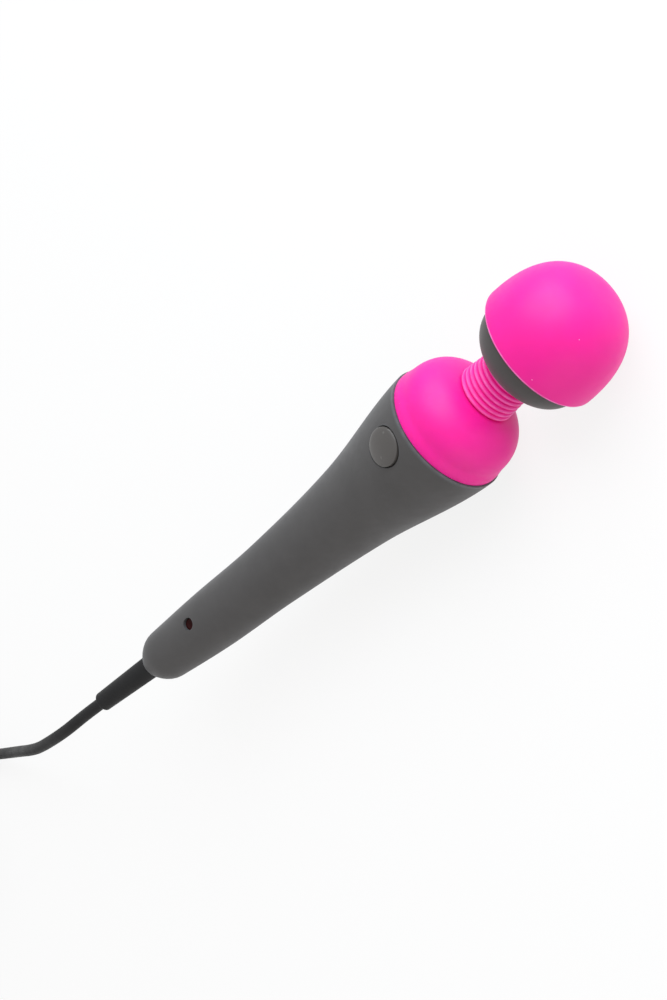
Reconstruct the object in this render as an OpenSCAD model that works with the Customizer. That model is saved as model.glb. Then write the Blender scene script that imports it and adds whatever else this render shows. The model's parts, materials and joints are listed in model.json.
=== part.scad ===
// Handheld wand massager with a flexible ribbed neck and a thin cord to a wall adapter.
// It lies on its back: +Y runs to the head, +Z is the side of the power button.
// Millimetres. The origin is under the middle of the body, on the surface it lies on.

/* [Handle] */
// Length of the handle, from its open rim to the end of its two shells
handle_length = 134; // [128:1:142]
// Diameter at the rim, the widest place
shoulder_d = 40; // [39.5:0.5:43]
// Diameter below the shoulder
taper_d = 27.8; // [27:0.2:30]
// Distance of that place from the rim
taper_at = 40; // [38:1:43]
// Diameter of the grip
grip_d = 21.4; // [21:0.2:23]
// Distance of the grip from the rim
grip_at = 80; // [76:1:84]
// Diameter where the palm closes round it
palm_d = 19.6; // [19:0.2:21]
// Distance of the palm from the rim
palm_at = 108; // [104:1:112]
// Diameter at the tail
tail_d = 16; // [15.6:0.2:17.6]
// How far the tail curves up, towards the button side
tail_rise = 11.6; // [8:0.2:14]
// Rounding of the shells' end
tail_round = 3; // [2:0.25:3.5]
// How far the sleeve's nose reaches past the shells
tail_nose = 2.6; // [2.2:0.2:3.2]
// Length over which the nose draws in to the strain relief
nose_length = 7.6; // [7:0.2:8.2]
// Wall of the soft grip sleeve
sleeve_wall = 1.4; // [1.2:0.1:1.6]
// Wall of the two rigid shells
shell_wall = 1.6; // [1.4:0.1:1.9]
// Clearance between pieces that fit one inside another
fit_gap = 0.1; // [0.05:0.01:0.15]

/* [Shoulder dome] */
// Diameter of the dome above its foot
dome_d = 38; // [37.5:0.25:38.5]
// Diameter of the rounded foot that stands on the rim
foot_d = 39; // [38.75:0.25:39.4]
// Height of the foot
foot_height = 2.7; // [2.2:0.1:3.2]
// Height from the foot to where the dome would close
dome_height = 14.5; // [13.5:0.25:16]
// Wall of the dome
dome_wall = 1.6; // [1.4:0.1:1.8]
// Dark gap between the rim and the foot
seam_gap = 0.3; // [0.2:0.05:0.5]
// Squareness of the dome and the head: 2 is an ellipse
roundness = 2.5; // [2.3:0.05:2.7]

/* [Neck] */
// Length of the flexible neck between dome and head
neck_length = 11.5; // [10.5:0.5:13]
// Diameter of the lowest ridge
neck_d = 18.4; // [18:0.1:19]
// Diameter of the highest ridge
neck_top_d = 16.8; // [16.6:0.1:17.6]
// Number of ridges
ridge_count = 7; // [5:1:9]
// Depth of the grooves between ridges
ridge_depth = 0.8; // [0.6:0.05:0.9]
// Wall of the sleeve's plain ends
neck_wall = 0.9; // [0.8:0.05:1]
// Wire of the steel spring inside the neck
spring_wire = 1.4; // [1.2:0.1:1.5]
// Turns of the spring
spring_turns = 6; // [5:1:6]
// Bore for the motor's leads
lead_bore_d = 5.2; // [5:0.1:5.4]

/* [Head] */
// Diameter of the cap's lower edge
head_d = 39.8; // [39.4:0.2:42]
// Height of the cap
cap_height = 25.3; // [25:0.5:29]
// Wall of the soft cap
cap_wall = 2.6; // [2.4:0.1:2.7]
// Wall of the rigid core under the cap
core_wall = 1.5; // [1.4:0.1:1.6]
// Diameter of the grey cup below the cap
cup_d = 35; // [34.8:0.2:35.4]
// Depth of the cup's curve
cup_depth = 12; // [11.8:0.1:12.4]
// Wall of the cup
cup_wall = 1.6; // [1.5:0.1:1.7]
// Wall of the hub that cradles the motor
hub_wall = 1.2; // [1:0.1:1.3]

/* [Motor] */
// Diameter of the motor
motor_d = 22; // [20:0.5:22]
// Length of the steel can
can_length = 13.5; // [12:0.5:14]
// Length of the plastic end cap
end_cap_length = 2.9; // [2.5:0.1:3.2]
// Diameter of the shaft
shaft_d = 2; // [1.8:0.1:2.3]
// Running clearance of the shaft, on the radius
shaft_gap = 0.04; // [0.02:0.01:0.06]
// Radius of the eccentric weight
weight_r = 8.5; // [7.5:0.25:8.75]
// Thickness of the eccentric weight
weight_t = 5; // [4:0.25:5.25]
// Wall of the rubber sleeve round the motor
damper_wall = 1; // [0.8:0.1:1.1]

/* [Button] */
// Distance of the button's centre from the rim
button_at = 9; // [8.8:0.1:9.6]
// Diameter of the button
button_d = 11.4; // [11:0.2:11.6]
// Gap round the button
button_gap = 0.35; // [0.25:0.05:0.4]
// How far its rim stands out of the grip
button_proud = 0.2; // [0:0.05:0.4]
// Height of its convex top
button_crown = 0.7; // [0.4:0.1:1]
// Travel of the button
button_travel = 0.4; // [0.3:0.05:0.5]
// Depth of the main board below the grip's surface
board_depth = 10.6; // [10.4:0.1:11]

/* [Boards] */
// Width of the main board
board_w = 14; // [13:0.5:14.5]
// Length of the main board
board_length = 30; // [29:0.5:31]
// Thickness of both boards
board_t = 1.2; // [1:0.1:1.4]
// Width of the power board in the tail
power_w = 8; // [7:0.25:8.5]
// Length of the power board
power_length = 24; // [22:0.5:25]
// Distance of the indicator from the end of the tail
indicator_at = 25; // [24:0.5:27]
// Diameter of the indicator's hole
indicator_d = 4; // [3.6:0.1:4.2]
// Distances of the shell screws from the rim
screw_at_upper = 42; // [41:0.5:44]
// Distance of the middle shell screw
screw_at_middle = 66; // [63:0.5:69]
// Distance of the lower shell screw from the end of the tail
screw_at_lower = 43.5; // [42.5:0.5:46]

/* [Cord] */
// Diameter of the cord
cord_d = 4; // [3.8:0.1:4.4]
// Diameter of the strain relief at the tail
relief_d = 7.6; // [7.4:0.2:8.2]
// Length of the strain relief outside the sleeve's nose
relief_length = 24; // [22:0.5:24]
// Middle diameter of the coil's turns
coil_d = 46; // [44:1:48]
// Width of the bundle of turns
coil_w = 16; // [15:1:17]
// Height of the bundle of turns
coil_h = 16; // [15:1:18]
// Width of the tie round the coil
tie_w = 9; // [7:0.5:10]

/* [Adapter] */
// Width of the adapter
adapter_w = 38; // [36:1:42]
// Length of the adapter, from its cord to its blades' face
adapter_length = 46; // [44:1:50]
// Height of the adapter
adapter_h = 30; // [28:1:34]
// Rounding of its edges
adapter_round = 4; // [2:0.5:5]
// Distance between the middles of the blades
blade_pitch = 12.7; // [12.6:0.1:12.8]
// Length of the blades
blade_length = 17; // [16:0.5:18]
// Height of the blades
blade_h = 6.4; // [6.2:0.1:6.6]
// Thickness of the blades
blade_t = 1.5; // [1.4:0.05:1.6]

/* [Hidden] */

round_steps = 96;         // facets that a round face is drawn with
loft_sides = 32;          // sides of the curved handle's rings
loft_rings = 15;          // rings along its length
overlap = 0.5;            // how far a cutter passes the face that it opens

// Places along the wand, from the handle's rim
dome_base = seam_gap + foot_height;
foot_in = min(dome_d, foot_d) / 2 - dome_wall;
neck_start = dome_base + curve_height(neck_d / 2, dome_d / 2, dome_height);
neck_low = neck_start + seam_gap;
neck_high = neck_low + neck_length;
head_mid = neck_high + curve_height(neck_top_d / 2, cup_d / 2, cup_depth);
head_tip = head_mid + cap_height;
sleeve_end = handle_length + tail_nose;
body_middle = (head_tip - sleeve_end) / 2;
lying_height = max(shoulder_d, head_d) / 2;
indicator_s = handle_length - indicator_at;

// Handle, inside the sleeve
shell_out = sleeve_wall + fit_gap;
shell_in = shell_out + shell_wall;
rim_bore_r = shoulder_d / 2 - shell_in;

// Neck fits
collar_r = neck_top_d / 2 - ridge_depth - neck_wall;
neck_hole_r = collar_r + neck_wall + 2 * fit_gap;
boss_r = collar_r - spring_wire - 1.1;
boss_reach = 2.4;
skirt_length = 3.4;
spring_r = boss_r + fit_gap + spring_wire / 2;

// Head, upwards from the cup's floor
cup_floor = neck_high + 3.2;
hub_plate_t = 1.4;
hub_floor = cup_floor + fit_gap + hub_plate_t;
screw_head_t = 0.9;
damper_lip = hub_floor + screw_head_t + fit_gap;
damper_lip_t = 1;
motor_low = damper_lip + damper_lip_t + fit_gap / 2;
can_low = motor_low + end_cap_length;
can_high = can_low + can_length;
damper_r = motor_d / 2 + fit_gap / 2 + damper_wall;
cradle_r = damper_r + fit_gap / 2;
bush_r = 3.5;
bush_t = 0.9;
weight_low = can_high + bush_t + 0.4;
hub_screw_ring = damper_r - 2.55;
core_r = head_d / 2 - cap_wall;
core_height = cap_height - cap_wall;
spigot_r = cup_d / 2 - cup_wall - fit_gap;
spigot_length = 2;
spigot_wall = 1.3;
cradle_top = head_mid - spigot_length - 2 * fit_gap;
motor_ring_t = 1.4;       // ring in the core that steadies the motor's upper end
lip_in = cup_d / 2 - cup_wall / 2;
lip_t = 1;                // lip of the cap that tucks in under the core

// Small screws
screw_r = 0.95;
screw_head_r = 1.7;
screw_bore_r = 1;
screw_boss_r = 2.6;
shell_screw_seat = 4;
shell_screw_length = 9.5;
lower_screw_s = handle_length - screw_at_lower;
shell_screw_ats = [screw_at_upper, screw_at_middle, lower_screw_s];

// Button, measured down from the grip's surface
button_hole_r = button_d / 2 + button_gap;
well_r = button_hole_r + 1.6;
well_depth = 4.7;
flange_t = 0.8;
flange_r = button_hole_r + 0.7;
stem_r = 2;
flange_depth = well_depth + 0.05;
switch_w = 6;
switch_h = 3.2;
plunger_r = 1.75;
plunger_rise = 0.9;
plunger_length = 2.2;
plunger_gap = 0.05;
board_up = 6.5;           // how far the main board reaches past the button, to the rim
board_screw_x = 4.6;
board_screw_back = 17;
board_post_r = 2;

// Tail
led_r = 1.5;
led_h = 3.2;
lens_sunk = 0.3;
lens_flange_t = 0.6;
power_drop = shell_in + lens_flange_t + led_h + 0.4;
power_offset = 1;         // how far the power board's middle lies from the indicator, to the rim
inner_cord_r = 1.4;
relief_hole_r = relief_d / 2 - 1;
relief_flange_t = 1.4;
nose_lip = 0.2;           // how far the nose's edge stands out round the strain relief
tail_lean = atan(2 * tail_rise / handle_length);

// Surface that everything stands on, and the cord's free route above it
cord_route = [
    [0, -122.3, 35.8], [0, -133.2, 37.4], [-0.5, -145, 37.3], [-2.5, -157, 35],
    [-5.5, -168.5, 31], [-9.5, -179.5, 26], [-14, -190.5, 20.5], [-18.5, -201.5, 15],
    [-23, -212.5, 10], [-27.5, -223.5, 6], [-31.5, -235, 3.2], [-35, -247, 2],
    [-38, -260, 2.2], [-40.6, -279, 2.7]
];
tie_t = 0.6;
coil_top = tie_t + fit_gap + coil_h - cord_d / 2;   // height of the coil's uppermost turns
adapter_route = [
    [-41, -284, coil_top], [-40, -293.2, coil_top], [-37.1, -299.9, coil_top],
    [-32.5, -305.5, coil_top], [-27.9, -311.1, 15], [-25, -317.8, 15], [-24, -325, 15],
    [-24, -333.5, 15]
];
coil_centre = [-12, -284];
adapter_back = [-24, -331, 15];
adapter_relief_length = 15;
socket_depth = 2.6;       // how deep the cord's ends sit in the two strain reliefs
cover_t = 2;

// ---- Shapes shared by the pieces ----

// Height of a rounded dome of radius r and height h at distance x from its axis, and its outline
function curve_height(x, r, h) = h * pow(1 - pow(x / r, roundness), 1 / roundness);
function curve_radius(y, r, h) = r * pow(1 - pow(y / h, roundness), 1 / roundness);
function curve_angle(x, r) = acos(pow(x / r, roundness / 2));
function curve_lift(y, h) = asin(pow(y / h, roundness / 2));
function curve(r, h, from, to, y0, way = 1, steps = 16) = [
    for (i = [0:steps])
        let (a = from + (to - from) * i / steps)
        [r * pow(cos(a), 2 / roundness), y0 + way * h * pow(sin(a), 2 / roundness)]
];

// Radius of the handle and rise of its centre line, at distance s from the rim
stations = [
    [0, shoulder_d / 2], [taper_at, taper_d / 2], [grip_at, grip_d / 2],
    [palm_at, palm_d / 2], [handle_length, tail_d / 2]
];
rim_slope = -0.05;
function chord_slope(a, b) = (stations[b][1] - stations[a][1]) / (stations[b][0] - stations[a][0]);
function slope(i) = i == 0 ? rim_slope : i == 4 ? chord_slope(3, 4) : chord_slope(i - 1, i + 1);
function station_below(s) = s < taper_at ? 0 : s < grip_at ? 1 : s < palm_at ? 2 : 3;
function body_r(s) =
    let (
        i = station_below(s),
        span = stations[i + 1][0] - stations[i][0],
        t = (s - stations[i][0]) / span
    )
    stations[i][1] * (2 * t * t * t - 3 * t * t + 1) + slope(i) * span * (t * t * t - 2 * t * t + t)
    + stations[i + 1][1] * (3 * t * t - 2 * t * t * t) + slope(i + 1) * span * (t * t * t - t * t);
function rise(s) = s < 0 ? 0 : tail_rise * pow(s / handle_length, 2);
function lean(s) = s < 0 ? 0 : atan(2 * tail_rise * s / handle_length / handle_length);
function top(s) = rise(s) + body_r(s);
function top_lean(s) = atan((top(s - 1) - top(s + 1)) / 2);
// A point y along and z above the grip's surface at distance s from the rim
function grip_point(s, x, y, z) = [
    x,
    -s + y * cos(top_lean(s)) - z * sin(top_lean(s)),
    top(s) + y * sin(top_lean(s)) + z * cos(top_lean(s))
];

// Radius of the handle's skin moved inwards by inset. The shells end in a rounded edge, and
// the sleeve's outside, which has no inset, in a nose that draws in to the strain relief
nose_depth = body_r(sleeve_end) - relief_d / 2 - nose_lip;
function end_of(inset) = inset > 0 ? handle_length - inset : sleeve_end;
function end_length(inset) = inset > 0 ? max(tail_round - inset, 0.6) : nose_length;
function end_steps(inset) = inset > 0 ? 3 : 6;
function drawn_in(t, inset) =
    inset > 0 ? end_length(inset) * (1 - sqrt(max(0, 1 - t * t))) : nose_depth * t * t;
function skin_r(s, inset) =
    let (t = 1 - (end_of(inset) - s) / end_length(inset))
    body_r(s) - inset - (t > 0 ? drawn_in(t, inset) : 0);
function skin_stations(inset, from) =
    let (straight = end_of(inset) - end_length(inset), n = end_steps(inset))
    concat(
        [for (i = [0:loft_rings]) from + (straight - from) * i / loft_rings],
        [for (i = [1:n]) straight + end_length(inset) * sin(90 * i / n)]
    );

// A solid whose rings of equal count follow one another
module loft(rings) {
    n = len(rings[0]);
    m = len(rings);
    points = [for (ring = rings) each ring];
    faces = concat(
        [[for (k = [0:n - 1]) k]],
        [
            for (j = [0:m - 2], k = [0:n - 1], half = [0, 1])
                let (a = j * n + k, b = j * n + (k + 1) % n)
                half == 0 ? [a, a + n, b] : [b, a + n, b + n]
        ],
        [[for (k = [n - 1:-1:0]) (m - 1) * n + k]]
    );
    polyhedron(points, faces, convexity = 6);
}

// The handle's volume, its skin moved inwards by inset and starting at distance from
module handle_volume(inset, from = 0) {
    loft([
        for (s = skin_stations(inset, from))
            [
                for (k = [0:loft_sides - 1])
                    let (a = 360 * k / loft_sides, r = skin_r(s, inset))
                    [
                        r * cos(a),
                        -s + r * sin(a) * sin(lean(s)),
                        rise(s) + r * sin(a) * cos(lean(s))
                    ]
            ]
    ]);
}

// Rings round a route, for a cord
function unit(v) = v / norm(v);
function heading(route, i) =
    unit(route[min(i + 1, len(route) - 1)] - route[max(i - 1, 0)]);
module tube(route, r, sides) {
    loft([
        for (i = [0:len(route) - 1])
            let (
                along = heading(route, i),
                across = unit(cross(along, [0, 0, 1])),
                upward = cross(across, along)
            )
            [
                for (k = [0:sides - 1])
                    let (a = 360 * k / sides)
                    route[i] + r * (cos(a) * across + sin(a) * upward)
            ]
    ]);
}

// A straight round rod from a to b
module rod(a, b, r) {
    d = b - a;
    translate(a)
        rotate([0, acos(d.z / norm(d)), atan2(d.y, d.x)])
            cylinder(h = norm(d), r = r, $fn = 24);
}

// A bent wire: rods with round elbows
module wire(route, r) {
    for (i = [0:len(route) - 2])
        rod(route[i], route[i + 1], r);
    for (i = [1:len(route) - 2])
        translate(route[i])
            sphere(r = r, $fn = 24);
}

// Turned round the wand's axis: outline points are [radius, place along the wand]
module turned(outline) {
    rotate([-90, 0, 0])
        rotate_extrude($fn = round_steps)
            polygon(outline);
}

module peg(y0, y1, r) {
    translate([0, y0, 0])
        rotate([-90, 0, 0])
            cylinder(h = y1 - y0, r = r, $fn = 48);
}

// Frames: the whole wand, the button's place, the indicator's place and the tail's end
module wand() {
    translate([0, -body_middle, lying_height])
        children();
}

module on_grip(s) {
    translate([0, -s, top(s)])
        rotate([top_lean(s), 0, 0])
            children();
}

module at_tail() {
    translate([0, -handle_length, rise(handle_length)])
        rotate([90 - tail_lean, 0, 0])
            children();
}

// ---- Handle ----

module tail_hole() {
    at_tail()
        translate([0, 0, -shell_in - overlap])
            cylinder(
                h = shell_in + tail_nose + 2 * overlap, r = relief_hole_r + fit_gap, $fn = 48
            );
}

module indicator_hole() {
    on_grip(indicator_s)
        translate([0, 0, -shell_in - 2 * overlap])
            cylinder(h = shell_in + 4 * overlap, r = indicator_d / 2, $fn = 48);
}

module button_hole() {
    on_grip(button_at)
        translate([0, 0, -well_depth - overlap])
            cylinder(h = well_depth + 4 * overlap, r = button_hole_r, $fn = 64);
}

module grip_sleeve() {
    color([0.33, 0.33, 0.34])
        wand()
            difference() {
                handle_volume(0);
                handle_volume(sleeve_wall, -1);
                button_hole();
                indicator_hole();
                tail_hole();
            }
}

// Everything behind the curved parting surface, which runs through the handle's centre line
module back_side() {
    s_end = handle_length + 5;
    rotate([90, 0, 90])
        linear_extrude(height = 2 * shoulder_d, center = true)
            polygon(concat(
                [[5, 0]],
                [for (i = [0:12]) [-s_end * i / 12, rise(s_end * i / 12)]],
                [[-s_end, -shoulder_d], [5, -shoulder_d]]
            ));
}

module shell_bosses() {
    for (s = shell_screw_ats)
        translate([0, -s, rise(s) - shoulder_d / 2])
            cylinder(h = shoulder_d, r = screw_boss_r, $fn = 32);
    on_grip(button_at)
        translate([0, 0, -well_depth])
            cylinder(h = well_depth + 2, r = well_r, $fn = 64);
    for (side = [-1, 1])
        on_grip(button_at)
            translate([side * board_screw_x, -board_screw_back, -board_depth])
                cylinder(h = board_depth, r = board_post_r, $fn = 32);
}

// Ring inside the rim that holds the groove of the neck's base
rim_ring_low = -4.2;
rim_ring_t = 1.4;
rim_ring_r = rim_bore_r - 1.8;
module rim_ring() {
    turned([
        [rim_ring_r, rim_ring_low], [rim_bore_r + 0.7, rim_ring_low],
        [rim_bore_r + 0.7, rim_ring_low + rim_ring_t], [rim_ring_r, rim_ring_low + rim_ring_t]
    ]);
}

module shell_bores() {
    for (s = shell_screw_ats)
        translate([0, -s, rise(s)]) {
            translate([0, 0, -shell_screw_seat - overlap])
                cylinder(h = shell_screw_length + 2 * overlap, r = screw_bore_r, $fn = 32);
            translate([0, 0, -shoulder_d])
                cylinder(h = shoulder_d - shell_screw_seat, r = screw_head_r + fit_gap, $fn = 32);
        }
    for (side = [-1, 1])
        on_grip(button_at)
            translate([side * board_screw_x, -board_screw_back, -board_depth - overlap])
                cylinder(h = 4.5 + overlap, r = screw_bore_r, $fn = 32);
    on_grip(button_at)
        translate([0, 0, -well_depth - 3])
            cylinder(h = 3, r = flange_r + 0.3, $fn = 64);
    button_hole();
    indicator_hole();
    tail_hole();
}

module shell_block() {
    difference() {
        handle_volume(shell_out);
        difference() {
            handle_volume(shell_in, -1);
            shell_bosses();
            rim_ring();
        }
        shell_bores();
    }
}

module front_shell() {
    color([0.2, 0.2, 0.21])
        wand()
            difference() {
                shell_block();
                back_side();
            }
}

module back_shell() {
    color([0.22, 0.22, 0.23])
        wand()
            intersection() {
                shell_block();
                back_side();
            }
}

module screw(length, head_t) {
    cylinder(h = length, r = screw_r, $fn = 24);
    translate([0, 0, -head_t])
        difference() {
            cylinder(h = head_t, r = screw_head_r, $fn = 32);
            for (a = [0, 90])
                rotate([0, 0, a])
                    translate([-0.9, -0.2, -0.1])
                        cube([1.8, 0.4, head_t / 2 + 0.1]);
        }
}

module shell_screws() {
    color("silver")
        wand()
            for (s = shell_screw_ats)
                translate([0, -s, rise(s) - shell_screw_seat])
                    screw(shell_screw_length, 1.3);
}

// ---- Shoulder and neck ----

module shoulder_dome() {
    open_a = curve_angle(neck_d / 2, dome_d / 2);
    inner_r = dome_d / 2 - dome_wall;
    inner_h = dome_height - dome_wall;
    inner_a = curve_angle(neck_d / 2, inner_r);
    color([0.95, 0.14, 0.6])
        wand()
            turned(concat(
                [
                    [foot_in, seam_gap], [foot_d / 2 - 0.3, seam_gap], [foot_d / 2, seam_gap + 0.3],
                    [foot_d / 2, seam_gap + foot_height / 3],
                    [(foot_d + dome_d) / 4 + 0.05, seam_gap + foot_height / 2],
                    [dome_d / 2, dome_base - 0.4]
                ],
                curve(dome_d / 2, dome_height, 0, open_a, dome_base),
                [[neck_hole_r, neck_start]],
                [[neck_hole_r, dome_base + curve_height(neck_d / 2, inner_r, inner_h)]],
                curve(inner_r, inner_h, inner_a, 0, dome_base)
            ));
}

module neck_base() {
    plate_r = foot_in - fit_gap;
    plate_top = seam_gap + 2;
    flange_low = rim_ring_low - 1.6;
    groove_r = rim_ring_r - fit_gap;
    plug_r = rim_bore_r - 1;
    inner_r = groove_r - 1.4;
    bore_r = lead_bore_d / 2;
    skirt_low = neck_start - skirt_length;
    color([0.85, 0.85, 0.84])
        wand()
            difference() {
                turned([
                    [bore_r, skirt_low - 4], [bore_r, neck_low + boss_reach],
                    [boss_r, neck_low + boss_reach], [boss_r, neck_start - fit_gap],
                    [collar_r, neck_start - fit_gap], [collar_r, skirt_low - fit_gap],
                    [neck_hole_r, skirt_low - fit_gap], [neck_hole_r, skirt_low - 2.5],
                    [plate_r - 3.5, plate_top], [plate_r, plate_top], [plate_r, fit_gap],
                    [plug_r, fit_gap], [plug_r, rim_ring_low + rim_ring_t + fit_gap],
                    [groove_r, rim_ring_low + rim_ring_t + fit_gap], [groove_r, rim_ring_low - fit_gap],
                    [plug_r, rim_ring_low - fit_gap], [plug_r, flange_low], [inner_r, flange_low],
                    [inner_r, -1], [neck_hole_r - 1, skirt_low - 4.6]
                ]);
                on_grip(button_at)
                    translate([0, 0, -well_depth - 2])
                        cylinder(h = well_depth + 4, r = well_r + 2 * fit_gap, $fn = 64);
            }
}

module neck_bellows() {
    steps = 8;
    base_r = neck_d / 2 - ridge_depth;
    top_r = neck_top_d / 2 - ridge_depth;
    count = ridge_count * steps;
    color([0.88, 0.1, 0.55])
        wand()
            turned(concat(
                [[collar_r + fit_gap, neck_start - skirt_length]],
                [[collar_r + fit_gap + neck_wall, neck_start - skirt_length]],
                [[collar_r + fit_gap + neck_wall, neck_low]],
                [
                    for (i = [0:count])
                        let (t = i / count, swell = ridge_depth * sqrt(abs(sin(180 * i / steps))))
                        [base_r + (top_r - base_r) * t + swell, neck_low + neck_length * t]
                ],
                [[collar_r + fit_gap + neck_wall, neck_high + 1.8]],
                [[collar_r + fit_gap, neck_high + 1.8]]
            ));
}

module neck_spring() {
    low = neck_start;
    high = neck_high + fit_gap / 2;
    per_turn = 14;
    count = spring_turns * per_turn;
    run = high - low - spring_wire - 2 * fit_gap;
    color("lightsteelblue")
        wand()
            loft([
                for (i = [0:count])
                    let (
                        a = 360 * i / per_turn,
                        y = low + fit_gap + spring_wire / 2 + run * i / count
                    )
                    [
                        for (k = [0:5])
                            let (b = -60 * k, r = spring_r + spring_wire / 2 * cos(b))
                            [r * cos(a), y + spring_wire / 2 * sin(b), r * sin(a)]
                    ]
            ]);
}

lead_x = 1;
lead_r = 0.6;
lead_low = 3;
module motor_leads() {
    color("firebrick")
        wand()
            for (side = [-1, 1])
                wire([
                    [side * lead_x, lead_low, 0], [side * lead_x, hub_floor + 0.6, 0],
                    [side * (terminal_x - 0.3), hub_floor + 0.6, 0]
                ], lead_r);
}

// ---- Head ----

module cup_screws_at() {
    for (a = [90, 210, 330])
        rotate([0, a, 0])
            translate([hub_screw_ring, 0, 0])
                children();
}

module head_cup() {
    low_a = curve_angle(neck_top_d / 2, cup_d / 2);
    inner_r = cup_d / 2 - cup_wall;
    inner_h = cup_depth - cup_wall;
    floor_r = curve_radius(head_mid - cup_floor, inner_r, inner_h);
    floor_a = curve_angle(floor_r, inner_r);
    color([0.31, 0.31, 0.32])
        wand()
            difference() {
                turned(concat(
                    [[neck_hole_r, neck_high]],
                    curve(cup_d / 2, cup_depth, low_a, 0, head_mid, -1),
                    curve(inner_r, inner_h, 0, floor_a, head_mid, -1),
                    [[neck_hole_r, cup_floor]]
                ));
                cup_screws_at()
                    peg(neck_high + 1.5, cup_floor + overlap, screw_bore_r);
            }
}

module head_hub() {
    wall_r = cradle_r + hub_wall;
    nest_r = spigot_r - fit_gap;
    nest_h = cup_depth - cup_wall - 2 * fit_gap;
    nest_low = curve_lift(head_mid - cup_floor - fit_gap / 2, nest_h);
    low = neck_high + fit_gap;
    shoulder = neck_high + 1.8 + fit_gap;
    step_y = damper_lip - fit_gap / 2;
    bore_r = lead_bore_d / 2;
    color([0.88, 0.88, 0.86])
        wand()
            difference() {
                turned(concat(
                    [
                        [bore_r, neck_high - boss_reach], [boss_r, neck_high - boss_reach],
                        [boss_r, low], [collar_r, low], [collar_r, shoulder],
                        [neck_hole_r - fit_gap, shoulder],
                        [neck_hole_r - fit_gap, cup_floor + fit_gap / 2]
                    ],
                    curve(nest_r, nest_h, nest_low, curve_angle(wall_r, nest_r), head_mid, -1, 6),
                    [
                        [wall_r, cradle_top], [cradle_r, cradle_top], [cradle_r, step_y],
                        [cradle_r - 0.7, step_y], [cradle_r - 0.7, hub_floor], [bore_r, hub_floor]
                    ]
                ));
                cup_screws_at()
                    peg(cup_floor - overlap, hub_floor + overlap, screw_bore_r);
            }
}

module hub_screws() {
    color("silver")
        wand()
            cup_screws_at()
                translate([0, hub_floor, 0])
                    rotate([90, 0, 0])
                        screw(hub_plate_t + 1.5, screw_head_t);
}

module motor_damper() {
    color([0.12, 0.12, 0.12])
        wand()
            turned([
                [damper_r - damper_wall - 0.6, damper_lip], [damper_r, damper_lip],
                [damper_r, can_high - 2], [damper_r - damper_wall, can_high - 2],
                [damper_r - damper_wall, motor_low - fit_gap / 2],
                [damper_r - damper_wall - 0.6, motor_low - fit_gap / 2]
            ]);
}

module motor_end_cap() {
    color([0.1, 0.1, 0.1])
        wand()
            difference() {
                peg(motor_low, can_low, motor_d / 2);
                peg(motor_low + 1, can_low + overlap, shaft_d / 2 + shaft_gap);
            }
}

terminal_x = 5;
module motor_terminals() {
    color("gold")
        wand()
            for (side = [-1, 1])
                translate([side * terminal_x, (motor_low + hub_floor + 0.2) / 2, 0])
                    cube([0.5, motor_low - hub_floor - 0.2, 2.2], center = true);
}

module motor_can() {
    color([0.75, 0.76, 0.78])
        wand()
            turned([
                [shaft_d / 2 + shaft_gap, can_low], [motor_d / 2, can_low],
                [motor_d / 2, can_high - 1], [motor_d / 2 - 1, can_high],
                [shaft_d / 2 + shaft_gap, can_high]
            ]);
}

module motor_bush() {
    color("goldenrod")
        wand()
            turned([
                [shaft_d / 2 + shaft_gap, can_high], [bush_r, can_high],
                [bush_r, can_high + bush_t], [shaft_d / 2 + shaft_gap, can_high + bush_t]
            ]);
}

module motor_shaft() {
    color([0.8, 0.8, 0.82])
        wand()
            peg(motor_low + 1.2, weight_low + weight_t + 1, shaft_d / 2);
}

// A half disc that hangs to one side of the shaft, on a round hub
module eccentric_weight() {
    color([0.7, 0.6, 0.35])
        wand()
            translate([0, weight_low, 0])
                rotate([-90, 0, 0])
                    difference() {
                        union() {
                            cylinder(h = weight_t, r = shaft_d / 2 + 1.6, $fn = 48);
                            intersection() {
                                cylinder(h = weight_t, r = weight_r, $fn = 64);
                                translate([-weight_r, 0, 0])
                                    cube([2 * weight_r, weight_r, weight_t]);
                            }
                        }
                        translate([0, 0, -overlap])
                            cylinder(h = weight_t + 2 * overlap, r = shaft_d / 2, $fn = 48);
                    }
}

module head_core() {
    base = head_mid + fit_gap / 2;
    inner_r = min(core_r - core_wall, spigot_r);
    inner_h = core_height - core_wall;
    spigot_in = spigot_r - spigot_wall;
    spigot_low = head_mid - spigot_length;
    spigot_low_r = curve_radius(spigot_length, cup_d / 2 - cup_wall, cup_depth - cup_wall) - fit_gap;
    step_t = lip_t + fit_gap;
    ledge_t = 1.5;
    ring_low = can_high - 3 - motor_ring_t;
    ring_out = curve_radius(ring_low + motor_ring_t - base, inner_r, inner_h) + core_wall / 2;
    color([0.82, 0.82, 0.8])
        wand() {
            turned(concat(
                [
                    [spigot_in, spigot_low], [spigot_low_r, spigot_low],
                    [spigot_r, head_mid - spigot_length / 2], [spigot_r, base],
                    [lip_in - fit_gap, base], [lip_in - fit_gap, base + step_t]
                ],
                curve(core_r, core_height, curve_lift(step_t, core_height), 90, base),
                curve(inner_r, inner_h, 90, curve_lift(ledge_t + 0.5, inner_h), base),
                [[spigot_in, base + ledge_t]]
            ));
            turned([
                [damper_r + fit_gap, ring_low], [ring_out, ring_low],
                [ring_out, ring_low + motor_ring_t], [damper_r + fit_gap, ring_low + motor_ring_t]
            ]);
        }
}

module head_cap() {
    base = head_mid + fit_gap;
    inner_r = core_r + fit_gap;
    inner_h = core_height + fit_gap;
    edge = 0.5;
    color([0.98, 0.17, 0.64])
        wand()
            turned(concat(
                [[lip_in, base], [head_d / 2 - edge, base], [head_d / 2, base + edge]],
                curve(head_d / 2, cap_height - fit_gap, curve_lift(2 * edge, cap_height), 90, base),
                curve(inner_r, inner_h, 90, curve_lift(lip_t, inner_h), base),
                [[lip_in, base + lip_t]]
            ));
}

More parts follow.
